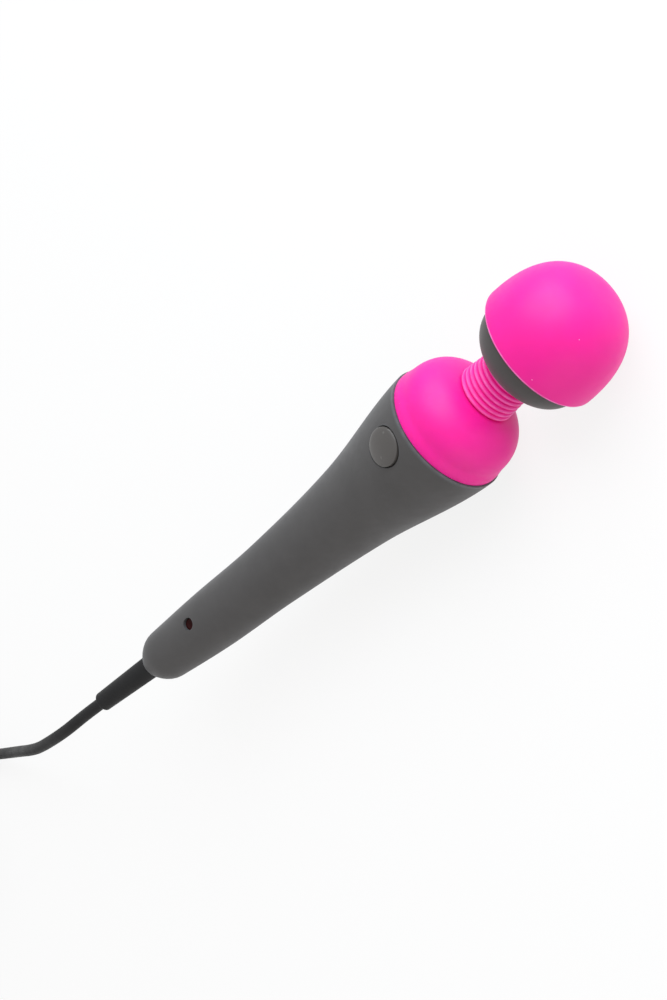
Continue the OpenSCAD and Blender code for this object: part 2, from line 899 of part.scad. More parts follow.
// ---- Button and boards ----

module button_cap() {
    crown_r = (button_d * button_d / 4 + button_crown * button_crown) / (2 * button_crown);
    stem_end = board_depth - switch_h - plunger_rise - plunger_gap;
    color([0.4, 0.39, 0.38])
        wand()
            on_grip(button_at) {
                translate([0, 0, -flange_depth - flange_t])
                    cylinder(h = flange_depth + flange_t + button_proud, r = button_d / 2, $fn = 64);
                translate([0, 0, -flange_depth - flange_t])
                    cylinder(h = flange_t, r = flange_r, $fn = 64);
                translate([0, 0, -stem_end])
                    cylinder(h = stem_end - flange_depth, r = stem_r, $fn = 32);
                intersection() {
                    translate([0, 0, button_proud + button_crown - crown_r])
                        sphere(r = crown_r, $fn = 96);
                    translate([0, 0, button_proud - 0.1])
                        cylinder(h = button_crown + 0.2, r = button_d / 2, $fn = 64);
                }
            }
}

// The board's frame: its top face is z = 0
module on_board() {
    wand()
        on_grip(button_at)
            translate([0, 0, -board_depth])
                children();
}

module switch_body() {
    color([0.15, 0.15, 0.15])
        on_board()
            difference() {
                translate([-switch_w / 2, -switch_w / 2, 0])
                    cube([switch_w, switch_w, switch_h]);
                translate([0, 0, switch_h - plunger_length + plunger_rise - button_travel - 0.2])
                    cylinder(h = plunger_length + 1, r = plunger_r + fit_gap, $fn = 48);
            }
}

module switch_plunger() {
    color([0.9, 0.88, 0.8])
        on_board()
            translate([0, 0, switch_h + plunger_rise - plunger_length])
                cylinder(h = plunger_length, r = plunger_r, $fn = 48);
}

module main_board() {
    color([0.05, 0.35, 0.2])
        on_board()
            difference() {
                translate([-board_w / 2, board_up - board_length, -board_t])
                    cube([board_w, board_length, board_t]);
                for (side = [-1, 1])
                    translate([side * board_screw_x, -board_screw_back, -board_t - overlap])
                        cylinder(h = board_t + 2 * overlap, r = screw_bore_r, $fn = 32);
            }
}

module control_chip() {
    chip_w = 5;
    chip_t = 1;
    chip_back = 9;
    color([0.08, 0.08, 0.08])
        on_board()
            translate([-chip_w / 2, -chip_back - chip_w / 2, -board_t - chip_t])
                cube([chip_w, chip_w, chip_t]);
}

capacitor_r = 2.5;
capacitor_h = 7;
module capacitor() {
    back = board_length - board_up - capacitor_r - 0.5;
    color([0.1, 0.15, 0.3])
        on_board()
            translate([0, -back, -board_t - capacitor_h])
                cylinder(h = capacitor_h, r = capacitor_r, $fn = 48);
}

socket_y = -3;
socket_w = 6;
socket_h = 3;
socket_l = 4;
module lead_socket() {
    color([0.92, 0.92, 0.9])
        on_board()
            translate([-socket_w / 2, socket_y, -board_t - socket_h])
                cube([socket_w, socket_l, socket_h]);
}

module board_screws() {
    color("silver")
        on_board()
            for (side = [-1, 1])
                translate([side * board_screw_x, -board_screw_back, -board_t])
                    screw(board_t + 4, 0.9);
}

// From the socket's mouth to the bore of the neck's base
module board_leads() {
    start_y = socket_y + socket_l + fit_gap;
    start_z = -board_depth - board_t - socket_h / 2;
    color("firebrick")
        wand()
            for (side = [-1, 1])
                tube([
                    grip_point(button_at, side * lead_x, start_y, start_z),
                    grip_point(button_at, side * lead_x, start_y + 1.3, start_z),
                    [side * lead_x, -2.6, 2.8], [side * lead_x, -0.6, 0.8],
                    [side * lead_x, 1.4, 0], [side * lead_x, lead_low - fit_gap / 2, 0]
                ], lead_r, 8);
}

module power_frame() {
    wand()
        on_grip(indicator_s)
            translate([0, 0, -power_drop])
                children();
}

module power_board() {
    color([0.05, 0.35, 0.2])
        power_frame()
            translate([-power_w / 2, power_offset - power_length / 2, -board_t])
                cube([power_w, power_length, board_t]);
}

module indicator_led() {
    color([0.7, 0.1, 0.1])
        power_frame() {
            cylinder(h = led_h - led_r, r = led_r, $fn = 32);
            translate([0, 0, led_h - led_r])
                sphere(r = led_r, $fn = 32);
            cylinder(h = 0.5, r = led_r + 0.3, $fn = 32);
        }
}

module indicator_lens() {
    color([0.4, 0.03, 0.05])
        wand()
            on_grip(indicator_s) {
                translate([0, 0, -shell_in - 0.9])
                    cylinder(h = shell_in + 0.9 - lens_sunk, r = indicator_d / 2 - fit_gap, $fn = 48);
            }
}

// Two supply wires along the handle, beside the screw bosses
module supply_leads() {
    x = screw_boss_r + lead_r + 0.4;
    board_end = button_at + board_length - board_up;
    z0 = top(button_at) - board_depth - board_t - capacitor_h + 1.8;
    far = indicator_s - power_length / 2 + 3;
    color([0.1, 0.1, 0.1])
        wand()
            for (side = [-1, 1])
                tube([
                    [side * x, -board_end + 4.5, z0],
                    [side * x, -screw_at_upper, rise(screw_at_upper) + 1],
                    [side * x, -screw_at_middle, rise(screw_at_middle) - 1],
                    [side * x, -lower_screw_s, rise(lower_screw_s) - 2],
                    [side * x, -far, top(far) - power_drop - board_t - lead_r - fit_gap]
                ], lead_r, 8);
}

module inner_cord() {
    reach = handle_length - shell_in - relief_flange_t - 0.3;
    board_end = indicator_s + power_length / 2 - power_offset + 1;
    color([0.1, 0.1, 0.1])
        wand()
            rod(
                [0, -reach, rise(reach)],
                [0, -board_end, rise(board_end) - 0.4], inner_cord_r
            );
}

// ---- Cord ----

module strain_relief() {
    out = relief_d / 2;
    tip = cord_d / 2 + 1.2;
    root = tail_nose + fit_gap;
    end = tail_nose + relief_length;
    color([0.07, 0.07, 0.07])
        wand()
            at_tail()
                difference() {
                    rotate_extrude($fn = round_steps)
                        polygon([
                            [0, -shell_in - relief_flange_t - fit_gap],
                            [relief_hole_r + 0.8, -shell_in - relief_flange_t - fit_gap],
                            [relief_hole_r + 0.8, -shell_in - fit_gap],
                            [relief_hole_r, -shell_in - fit_gap], [relief_hole_r, root],
                            [out - 0.3, root], [out, root + 0.3],
                            [tip, end - 0.5], [tip - 0.5, end], [0, end]
                        ]);
                    translate([0, 0, end - socket_depth])
                        cylinder(h = socket_depth + overlap, r = cord_d / 2 + 0.15, $fn = 48);
                }
}

module cord() {
    color([0.07, 0.07, 0.07]) {
        tube(cord_route, cord_d / 2, 10);
        tube(adapter_route, cord_d / 2, 10);
    }
}

module cord_coil() {
    edge = cord_d / 2;
    inner = coil_d / 2 - coil_w / 2;
    outer = coil_d / 2 + coil_w / 2;
    color([0.09, 0.09, 0.09])
        translate([coil_centre.x, coil_centre.y, tie_t + fit_gap])
            rotate_extrude($fn = round_steps)
                polygon([
                    [inner, edge], [inner + edge, 0], [outer - edge, 0], [outer, edge],
                    [outer, coil_h - edge], [outer - edge, coil_h], [inner + edge, coil_h],
                    [inner, coil_h - edge]
                ]);
}

module coil_tie() {
    clear = 0.5;
    inner = [coil_w + 2 * clear, tie_w + 1, coil_h + 2 * fit_gap];
    color([0.02, 0.02, 0.02])
        translate([coil_centre.x, coil_centre.y, 0])
            rotate([0, 0, -50])
                translate([coil_d / 2 - clear / 2, 0, tie_t + fit_gap + coil_h / 2])
                    difference() {
                        cube([inner.x + 2 * tie_t, tie_w, inner.z + 2 * tie_t], center = true);
                        cube(inner, center = true);
                    }
}

// ---- Adapter ----

module at_adapter() {
    translate(adapter_back)
        rotate([90, 0, 0])
            children();
}

// A block with four rounded long edges, from z0 to z1 of the adapter's own length
module rounded_block(z0, z1, inset) {
    r = adapter_round - inset / 2;
    w = adapter_w / 2 - inset - r;
    up = adapter_h / 2 - inset - r;
    translate([0, adapter_h / 2 - adapter_back.z, z0])
        linear_extrude(height = z1 - z0)
            union() {
                for (x = [-w, w], y = [-up, up])
                    translate([x, y])
                        circle(r = r, $fn = 48);
                square([2 * w + 2 * r, 2 * up], center = true);
                square([2 * w, 2 * up + 2 * r], center = true);
            }
}

adapter_start = adapter_relief_length;
adapter_face = adapter_start + adapter_length;
module adapter_case() {
    color([0.1, 0.1, 0.1])
        at_adapter()
            difference() {
                union() {
                    rounded_block(adapter_start + 1.5, adapter_face - cover_t, 0);
                    rounded_block(adapter_start, adapter_start + 1.5, 1.2);
                }
                translate([0, 0, adapter_start - overlap])
                    cylinder(h = 4 + overlap, r = cord_d / 2 + 1.5 + fit_gap, $fn = 48);
            }
}

module adapter_cover() {
    color([0.13, 0.13, 0.13])
        at_adapter()
            difference() {
                rounded_block(adapter_face - cover_t, adapter_face, 0);
                for (side = [-1, 1])
                    translate([side * blade_pitch / 2, adapter_h / 2 - adapter_back.z, adapter_face])
                        cube([blade_t, blade_h, 4 * cover_t], center = true);
            }
}

module adapter_blades() {
    color([0.8, 0.78, 0.7])
        at_adapter()
            for (side = [-1, 1])
                translate([
                    side * blade_pitch / 2, adapter_h / 2 - adapter_back.z,
                    adapter_face - cover_t + (blade_length + cover_t) / 2
                ])
                    difference() {
                        cube([blade_t, blade_h, blade_length + cover_t], center = true);
                        translate([0, 0, blade_length / 2 - 3])
                            rotate([0, 90, 0])
                                cylinder(h = 2 * blade_t, r = 1.6, center = true, $fn = 32);
                    }
}

module adapter_relief() {
    color([0.07, 0.07, 0.07])
        at_adapter()
            rotate_extrude($fn = 64)
                polygon([
                    [0, socket_depth], [cord_d / 2 + 0.15, socket_depth], [cord_d / 2 + 0.15, 0],
                    [cord_d / 2 + 0.8, 0], [cord_d / 2 + 1.5, adapter_start],
                    [cord_d / 2 + 1.5, adapter_start + 4], [0, adapter_start + 4]
                ]);
}

grip_sleeve();
front_shell();
back_shell();
shell_screws();
shoulder_dome();
neck_base();
button_cap();
switch_plunger();
switch_body();
main_board();
control_chip();
capacitor();
lead_socket();
board_screws();
board_leads();
supply_leads();
power_board();
indicator_led();
indicator_lens();
inner_cord();
neck_bellows();
neck_spring();
motor_leads();
head_cup();
head_hub();
hub_screws();
motor_damper();
motor_end_cap();
motor_terminals();
motor_can();
motor_bush();
head_core();
head_cap();
motor_shaft();
eccentric_weight();
strain_relief();
cord();
cord_coil();
coil_tie();
adapter_case();
adapter_cover();
adapter_blades();
adapter_relief();
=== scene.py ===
# %% [markdown]
# # A handheld wand massager
# This lesson dresses a ready-made engineering model with looks. The wand lies on its
# back: +Y runs from the tail to the head, +Z is the side with the power button, and
# everything is in metres. The engineering model is loaded first and never changed; each
# piece made here either covers one of its nodes or gives that node a better material.

# %% Load the fixed frame
import json
import math

import bmesh
import bpy
from mathutils import Matrix, Vector

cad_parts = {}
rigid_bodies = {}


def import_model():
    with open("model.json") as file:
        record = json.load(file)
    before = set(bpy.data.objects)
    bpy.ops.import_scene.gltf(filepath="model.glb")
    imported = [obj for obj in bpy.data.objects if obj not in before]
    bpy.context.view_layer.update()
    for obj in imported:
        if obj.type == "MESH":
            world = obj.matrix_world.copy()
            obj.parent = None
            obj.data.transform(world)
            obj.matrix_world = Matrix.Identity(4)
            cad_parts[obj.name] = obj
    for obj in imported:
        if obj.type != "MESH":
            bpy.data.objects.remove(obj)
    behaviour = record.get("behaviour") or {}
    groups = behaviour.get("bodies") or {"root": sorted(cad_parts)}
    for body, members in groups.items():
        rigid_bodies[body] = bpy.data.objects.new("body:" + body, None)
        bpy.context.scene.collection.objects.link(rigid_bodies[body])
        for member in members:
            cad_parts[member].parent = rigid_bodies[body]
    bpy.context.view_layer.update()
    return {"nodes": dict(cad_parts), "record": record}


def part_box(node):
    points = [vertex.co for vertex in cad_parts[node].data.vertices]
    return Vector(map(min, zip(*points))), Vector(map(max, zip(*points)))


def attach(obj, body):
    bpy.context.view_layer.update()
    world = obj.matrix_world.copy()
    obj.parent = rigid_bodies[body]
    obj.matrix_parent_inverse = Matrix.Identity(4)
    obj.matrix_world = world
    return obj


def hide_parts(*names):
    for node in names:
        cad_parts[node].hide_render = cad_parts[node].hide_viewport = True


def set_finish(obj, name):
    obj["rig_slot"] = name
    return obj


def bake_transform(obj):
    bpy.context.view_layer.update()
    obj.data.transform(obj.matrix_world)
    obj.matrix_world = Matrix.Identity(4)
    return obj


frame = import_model()
nodes = frame["nodes"]
MM = 0.001

# %% [markdown]
# ## The camera
# A camera is easiest to place by what it looks at. It stands on a ball round the wand:
# an azimuth and an elevation say where on the ball, and a roll turns it about its own
# line of sight, so that the wand rises from the lower left to the upper right.

# %% Camera
looks_at = Vector((-4.23, -8.58, 25.65)) * MM
stands_off = 600 * MM
azimuth, elevation, roll = math.radians(59.99), math.radians(46.64), math.radians(-93.1)

towards = Vector((math.cos(azimuth) * math.cos(elevation),
                  math.sin(azimuth) * math.cos(elevation), math.sin(elevation)))
level = Vector((0, 0, 1)).cross(towards).normalized()
upright = towards.cross(level)
right = level * math.cos(roll) + upright * math.sin(roll)
up = towards.cross(right)
camera = bpy.data.objects.new("camera", bpy.data.cameras.new("camera"))
camera.data.lens = 73
camera.matrix_world = Matrix.Translation(looks_at + towards * stands_off) @ Matrix(
    (right, up, towards)).transposed().to_4x4()
bpy.context.scene.collection.objects.link(camera)
bpy.context.scene.camera = camera
print("camera right", [round(x, 3) for x in right], "up", [round(x, 3) for x in up],
      "towards", [round(x, 3) for x in towards])

# %% [markdown]
# ## The cord
# A cord has a fixed length, so it is drawn as one line before it is given any
# thickness. It leaves the strain relief straight, sinks to the table, runs off behind
# the wand and is wound into a coil. The line goes through a few given points; a
# Catmull-Rom curve, which passes through every one of them, makes it smooth. The coil
# spirals inwards and outwards in turn, and climbs one cord's thickness at each change.

# %% The cord's line, in millimetres
cord_d = 4
cord_route = [
    (0, -122.3, 35.8), (0, -133.2, 37.4), (-0.5, -145, 37.3), (-2.5, -157, 35),
    (-5.5, -168.5, 31), (-9.5, -179.5, 26), (-14, -190.5, 20.5), (-18.5, -201.5, 15),
    (-23, -212.5, 10), (-27.5, -223.5, 6), (-31.5, -235, 3.2), (-35, -247, 2),
    (-38, -260, 2.2), (-40.6, -279, 2.7),
]
adapter_route = [
    (-41, -284, 14.7), (-40, -293.2, 14.7), (-37.1, -299.9, 14.7),
    (-32.5, -305.5, 14.7), (-27.9, -311.1, 15), (-25, -317.8, 15), (-24, -325, 15),
    (-24, -333.5, 15),
]


def smooth_line(points, steps=6):
    """A Catmull-Rom curve through the points."""
    points = [Vector(p) for p in points]
    padded = [2 * points[0] - points[1], *points, 2 * points[-1] - points[-2]]
    line = []
    for a, b, c, d in zip(padded, padded[1:], padded[2:], padded[3:]):
        for i in range(steps):
            t = i / steps
            line.append(0.5 * (2 * b + (c - a) * t + (2 * a - 5 * b + 4 * c - d) * t * t
                               + (3 * b - a - 3 * c + d) * t ** 3))
    return [*line, points[-1]]


def wound(centre, inner, outer, low, layers, start, turns, per_turn=36):
    """A coil that spirals in and out in turn, one cord's thickness higher each time."""
    total = 360 * turns
    climb = 50  # the coil rises from this many degrees before a change to as many after
    layer = total / layers
    count = math.ceil(turns * per_turn)
    line = []
    for i in range(1, count):
        angle = total * i / count
        k = min(int(angle / layer), layers - 1)
        share = (angle - k * layer - climb) / (layer - 2 * climb)
        share = min(max(share, 0), 1)
        radius = outer + (inner - outer) * (share if k % 2 == 0 else 1 - share)
        height = low
        for change in range(1, layers):
            t = min(max((angle - change * layer + climb) / (2 * climb), 0), 1)
            height += cord_d * t * t * (3 - 2 * t)
        a = math.radians(start + angle)
        line.append(Vector((centre[0] + radius * math.cos(a),
                            centre[1] + radius * math.sin(a), height)))
    return line


coil = wound(centre=(-12, -284), inner=17, outer=29, low=2.7, layers=4, start=170,
             turns=11 + 10 / 360)
cord_line = smooth_line(cord_route) + coil + smooth_line(adapter_route)
cord_length = sum((b - a).length for a, b in zip(cord_line, cord_line[1:])) * MM
print("cord:", len(cord_line), "points,", round(cord_length, 3), "m")

# %% Give the line its thickness
cord_data = bpy.data.curves.new("cord_run", "CURVE")
cord_data.dimensions = "3D"
cord_data.bevel_depth = 1  # each point's own radius multiplies it
cord_data.bevel_resolution = 5
cord_data.use_fill_caps = True
spline = cord_data.splines.new("POLY")
spline.points.add(len(cord_line) - 1)
for point, place in zip(spline.points, cord_line):
    point.co = (*(place * MM), 1)
    point.radius = cord_d / 2 * MM
spline.use_smooth = True
cord = bpy.data.objects.new("cord_run", cord_data)
bpy.context.scene.collection.objects.link(cord)
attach(cord, "handle")
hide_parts("cord", "cord_coil")
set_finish(cord, "black_rubber")
print(cord.name, "is", cord_d, "mm thick")

# %% [markdown]
# ## Sizes of the wand
# The wand's round pieces share one axis, so their outlines are written as a radius and
# a place along that axis, in millimetres from the handle's rim. The rim, the axis and
# the outer sizes are read from the loaded model; only the finer forms are typed.

# %% Places along the wand
rim_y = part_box("grip_sleeve")[1].y
axis_z = sum(corner.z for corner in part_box("head_cap")) / 2


def span(node):
    """A node's width, and its lowest and highest place along the wand."""
    low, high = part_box(node)
    return (high.x - low.x) / MM, (low.y - rim_y) / MM, (high.y - rim_y) / MM


head_d, head_base, head_tip = span("head_cap")
cup_d, cup_low, cup_high = span("head_cup")
foot_d, dome_low, neck_start = span("shoulder_dome")
foot_low = 0.12  # the shadow gap between the dome's foot and the rim
handle_length = 134
shoulder_r = span("grip_sleeve")[0] / 2
print("head", head_d, head_base, head_tip, "cup", cup_d, cup_low, cup_high)
print("foot", foot_d, foot_low, neck_start, "shoulder radius", shoulder_r)

# %% [markdown]
# ## Turned pieces
# The cap, the cup, the dome and the neck could all come off a lathe: an outline is spun
# about an axis. Spinning it in code keeps the points even and the number of sides ours
# to choose. A sharp corner never looks real, so `rounded` first swaps each corner of
# the outline for a small arc. The domes are squarish: an ellipse whose square power is
# raised to 2.5, which fills its shoulders.

# %% Outlines
squareness = 2.5


def rounded(corners, steps=5):
    """Outline points from corners (radius, place, rounding); one of 0 stays sharp."""
    most = 0.49  # the share of a side that the arc at one of its ends may take
    out = []
    for i, (r, y, rounding) in enumerate(corners):
        here = Vector((r, y))
        before = Vector(corners[i - 1][:2]) - here
        after = Vector(corners[(i + 1) % len(corners)][:2]) - here
        if rounding <= 0:
            out.append((r, y))
            continue
        half = before.angle(after) / 2
        reach = min(rounding / math.tan(half), before.length * most,
                    after.length * most)
        a, b = here + before.normalized() * reach, here + after.normalized() * reach
        for k in range(steps + 1):
            t = k / steps
            out.append(tuple((1 - t) ** 2 * a + 2 * t * (1 - t) * here + t * t * b))
    return out


def dome_curve(radius, height, start, end, base, way=1, steps=40):
    """Part of a dome's outline, between two angles: 0 is its foot and 90 its top."""
    out = []
    for i in range(steps + 1):
        a = math.radians(start + (end - start) * i / steps)
        c, s = max(math.cos(a), 0), max(math.sin(a), 0)
        out.append((radius * c ** (2 / squareness),
                    base + way * height * s ** (2 / squareness)))
    return out


def dome_angle(share):
    """The angle on a dome at a share of its radius."""
    return math.degrees(math.acos(share ** (squareness / 2)))


def lift_angle(share):
    """The angle on a dome at a share of its height."""
    return math.degrees(math.asin(share ** (squareness / 2)))


print("half way out, a dome stands at", round(dome_angle(0.5)), "degrees")

# %% [markdown]
# ## From an outline to a piece
# Every solid piece made here goes through one function, which smooths its faces, keeps
# its creases and tells the frame what it rides on and stands for. A piece can also
# carry marks that say where its finish paints it paler, as a painted highlight and,
# on the grip, partly as wear; its finish reads them later.

# %% Pieces and the lathe
def along_wand():
    """A frame whose Z runs along the wand, from the handle's rim."""
    turn = Matrix.Rotation(-math.pi / 2, 4, "X")
    return Matrix.Translation((0, rim_y, axis_z)) @ turn


def add_piece(name, bm, body, replaced=(), slot=None):
    """Turns a bmesh, in metres, into a smooth piece that rides a body."""
    crease = math.radians(38)
    bmesh.ops.recalc_face_normals(bm, faces=bm.faces)
    mesh = bpy.data.meshes.new(name)
    bm.to_mesh(mesh)
    bm.free()
    mesh.shade_smooth()
    mesh.set_sharp_from_angle(angle=crease)
    piece = bpy.data.objects.new(name, mesh)
    bpy.context.scene.collection.objects.link(piece)
    if body:
        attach(piece, body)
    if replaced:
        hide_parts(*replaced)
    if slot:
        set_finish(piece, slot)
    return piece


def turned(name, outline, body, place=None, sides=128, closed=True, **kept):
    """Spins an outline of (radius, height) in millimetres about its frame's Z."""
    place = along_wand() if place is None else place
    bm = bmesh.new()
    rings = []
    around = [2 * math.pi * k / sides for k in range(sides)]
    for r, y in outline:
        if r < 1e-5:
            rings.append([bm.verts.new(place @ Vector((0, 0, y * MM)))])
            continue
        rings.append([bm.verts.new(place @ Vector((
            r * MM * math.cos(a), r * MM * math.sin(a), y * MM))) for a in around])
    pairs = list(zip(rings, rings[1:]))
    if closed:
        pairs.append((rings[-1], rings[0]))
    for low, high in pairs:
        for k in range(sides):
            corners = [low[k % len(low)], low[(k + 1) % sides % len(low)],
                       high[(k + 1) % sides % len(high)], high[k % len(high)]]
            corners = list(dict.fromkeys(corners))
            if len(corners) > 2:
                bm.faces.new(corners)
    return add_piece(name, bm, body, **kept)


def sew(bm, a, b):
    """Joins two closed rings of points with quads."""
    for k in range(len(a)):
        n = (k + 1) % len(a)
        bm.faces.new((a[k], a[n], b[n], b[k]))


def mark_painted_highlight(piece, share_at):
    """Marks a painted highlight on a turned piece; share_at takes a radius and a place.
    """
    mask = piece.data.attributes.new("highlight_and_wear", "FLOAT", "POINT")
    back = along_wand().inverted()
    for vertex in piece.data.vertices:
        x, y, place = (back @ vertex.co) / MM
        mask.data[vertex.index].value = share_at(math.hypot(x, y), place)


def print_sizes(*pieces):
    for piece in pieces:
        print(piece.name, [round(x, 4) for x in piece.dimensions])


# %% [markdown]
# ## The head
# The head is a soft silicone cap over a hard grey cup. The cap's lower edge is a thick
# rounded lip whose corner is painted pale as a highlight, and the cup curves away from
# under it to the neck. Both are hollow, so the outline runs up the outside and back
# down the inside.

# %% Cap
cap_wall, core_gap, cup_wall, lip = 2.6, 0.1, 1.6, 0.6
cap_height = head_tip - head_base
core_r = head_d / 2 - cap_wall + core_gap
core_height = cap_height - cap_wall + 2 * core_gap
lip_in = cup_d / 2 - cup_wall / 2
skin_from, core_from = lift_angle(0.09), lift_angle(0.045)
cap_outline = rounded([
    (lip_in, head_base + 1, 0.2), (lip_in, head_base, 0.3),
    (head_d / 2 - 0.02, head_base, 0.9), (head_d / 2, head_base + 3, 0)])[:-1]
cap_outline += dome_curve(head_d / 2, cap_height, skin_from, 90, head_base)
cap_outline += dome_curve(core_r, core_height, 90, core_from, head_base, steps=24)
cap = turned("cap_skin", cap_outline, "head", replaced=["head_cap"],
             slot="pink_silicone")
# the lip's outer corner is painted pale: a painted highlight
mark_painted_highlight(cap, lambda r, y: float(r > head_d / 2 - lip and y < head_base + lip))
print_sizes(cap)

# %% Cup
neck_hole_r, cup_foot_r, cup_depth, inside_to = 7.9, 8.4, 12, 49
cup_foot = dome_angle(cup_foot_r / (cup_d / 2))
cup_outline = rounded([(neck_hole_r, cup_low + 3, 0), (neck_hole_r, cup_low, 0.25),
                       (8.6, cup_low, 0)])[:-1]
cup_outline += dome_curve(cup_d / 2, cup_depth, cup_foot, 0, cup_high, way=-1)
cup_outline += dome_curve(cup_d / 2 - cup_wall, cup_depth - cup_wall, 0, inside_to,
                          cup_high, way=-1, steps=24)
cup = turned("cup_skin", cup_outline, "head", replaced=["head_cup"], slot="cup_plastic")
print_sizes(cup)

# %% [markdown]
# ## The shoulder dome
# Below the neck the pink skin spreads into a dome that ends in a small rounded foot.
# The foot stands on the handle's rim with a thin shadow gap, which shows the two as
# separate mouldings. A cosine eases the foot's flare into the dome.

# %% Shoulder dome
dome_d, dome_height, dome_wall, neck_d = 38, 14.5, 1.6, 18.4
dome_base = dome_low + 2.7
foot_top = dome_base + 1.6
flare_steps = 12
dome_outline = rounded([
    (dome_d / 2 - dome_wall, foot_low, 0.1), (foot_d / 2, foot_low, 0.3),
    (foot_d / 2, foot_low + 1, 0)])[:-1]
for i in range(flare_steps + 1):
    t = i / flare_steps
    flare = (foot_d - dome_d) / 2 * (1 + math.cos(math.pi * t)) / 2
    y = foot_low + 1 + (foot_top - foot_low - 1) * t
    share = max(y - dome_base, 0) / dome_height
    r = dome_d / 2 * (1 - share ** squareness) ** (1 / squareness)
    dome_outline.append((r + flare, y))
dome_outline += dome_curve(dome_d / 2, dome_height, lift_angle(2 / dome_height),
                           dome_angle(neck_d / dome_d), dome_base)
dome_outline += [(neck_hole_r, neck_start)]
inner_r, inner_h = dome_d / 2 - dome_wall, dome_height - dome_wall
dome_outline += dome_curve(
    inner_r, inner_h, dome_angle(neck_hole_r / inner_r), 0, dome_base, steps=24)
dome = turned("shoulder_skin", dome_outline, "handle", replaced=["shoulder_dome"],
              slot="pink_silicone")
print_sizes(dome)

# %% [markdown]
# ## The ribbed neck
# The neck is a bellows: seven soft ridges on a sleeve that bends both ways. It crosses
# two hinges, and is made as two halves that meet in a groove. The same goes for the
# spring and the two leads inside it. The tops of the ridges are painted a little pale,
# a painted highlight.

# %% Bellows
ridges, ridges_below, ridge_depth, neck_top_d, neck_length = 7, 4, 0.8, 16.8, 11.5
neck_low = neck_start + 0.3
neck_high = neck_low + neck_length
neck_join = neck_low + neck_length * ridges_below / ridges
sleeve_in, sleeve_out = 6.8, 7.7
tuck_low, tuck_high = 3.4, 1.8  # the sleeve runs this far into the dome and the cup


def groove_radius(t):
    """The bellows' radius in a groove, at a share of the neck: a gentle taper."""
    return (neck_d + (neck_top_d - neck_d) * t) / 2 - ridge_depth


def ridge_line(first, last, steps=14):
    """The bellows' outer line from one ridge to another."""
    out = []
    for i in range((last - first) * steps + 1):
        t = (first + i / steps) / ridges
        swell = abs(math.sin(math.pi * i / steps)) ** 0.5
        out.append((groove_radius(t) + ridge_depth * swell, neck_low + neck_length * t))
    return out


def ridge_crest(r, y):
    """How pale a point of the bellows is painted: a painted highlight on the tops of
    its ridges only.
    """
    lifted = (r - groove_radius((y - neck_low) / neck_length)) / ridge_depth
    return 0.6 * min(max(lifted, 0), 1) ** 6


def bend_lower(piece):
    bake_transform(piece)


def bend_upper(piece):
    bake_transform(piece)


sleeve_low, sleeve_high = neck_start - tuck_low, neck_high + tuck_high
lower_outline = [(sleeve_in, sleeve_low), (sleeve_out, sleeve_low),
                 (sleeve_out, neck_low), *ridge_line(0, ridges_below),
                 (sleeve_in, neck_join)]
upper_outline = [(sleeve_in, neck_join), *ridge_line(ridges_below, ridges),
                 (sleeve_out, sleeve_high), (sleeve_in, sleeve_high)]
bellows_low = turned("bellows_low", lower_outline, None, replaced=["neck_bellows"],
                     slot="pink_silicone")
bellows_high = turned("bellows_high", upper_outline, None, replaced=["neck_bellows"],
                      slot="pink_silicone")
for half in (bellows_low, bellows_high):
    # the ridge tops are painted pale: a painted highlight
    mark_painted_highlight(half, ridge_crest)
bend_lower(bellows_low)
bend_upper(bellows_high)
print("bellows join", round(neck_join, 2), "of", round(neck_low, 2),
      round(neck_high, 2))

# %% Round wires
def strand(name, line, radius, slot, stands_for, sides=10):
    """A round wire along a line of points in millimetres."""
    bm = bmesh.new()
    rings = []
    for i, here in enumerate(line):
        ahead = (line[min(i + 1, len(line) - 1)] - line[max(i - 1, 0)]).normalized()
        side = ahead.cross(Vector((1, 0, 0.01))).normalized()
        other = ahead.cross(side)
        rings.append([bm.verts.new((here + radius * (
            math.cos(2 * math.pi * k / sides) * side
            + math.sin(2 * math.pi * k / sides) * other)) * MM) for k in range(sides)])
    for a, b in zip(rings, rings[1:]):
        sew(bm, a, b)
    bm.faces.new(rings[0])
    bm.faces.new(rings[-1])
    return add_piece(name, bm, None, replaced=[stands_for], slot=slot)


def wand_point(x, y, z):
    """A point beside the axis, y millimetres from the rim."""
    return Vector((x, rim_y / MM + y, axis_z / MM + z))


print("the rim's middle is at", [round(x, 2) for x in wand_point(0, 0, 0)])

# %% Spring inside the neck
spring_r, spring_wire, spring_turns, per_turn = 4.9, 1.4, 6, 24
spring_low, spring_high = span("neck_spring")[1:]
spring_rise = spring_high - spring_low - spring_wire
spring_line = []
for i in range(per_turn * spring_turns + 1):
    a = 2 * math.pi * i / per_turn
    y = spring_low + spring_wire / 2 + spring_rise * i / (per_turn * spring_turns)
    spring_line.append(wand_point(spring_r * math.cos(a), y, spring_r * math.sin(a)))
join_y = wand_point(0, neck_join, 0).y
cut = min(range(len(spring_line)), key=lambda i: abs(spring_line[i].y - join_y))
bend_lower(strand("spring_low", spring_line[:cut + 1], spring_wire / 2, "spring_steel",
                  "neck_spring"))
bend_upper(strand("spring_high", spring_line[cut:], spring_wire / 2, "spring_steel",
                  "neck_spring"))
print("spring of", len(spring_line), "points, cut at", cut)

# %% Motor leads through the neck
lead_x, lead_r = 1, 0.6
lead_low, lead_high = span("motor_leads")[1:]
lead_high -= lead_r
terminal_x = span("motor_leads")[0] / 2


def straight_lead(side, low, high, steps=12):
    """A lead's straight run beside the axis."""
    return [wand_point(side * lead_x, low + (high - low) * k / steps, 0)
            for k in range(steps + 1)]


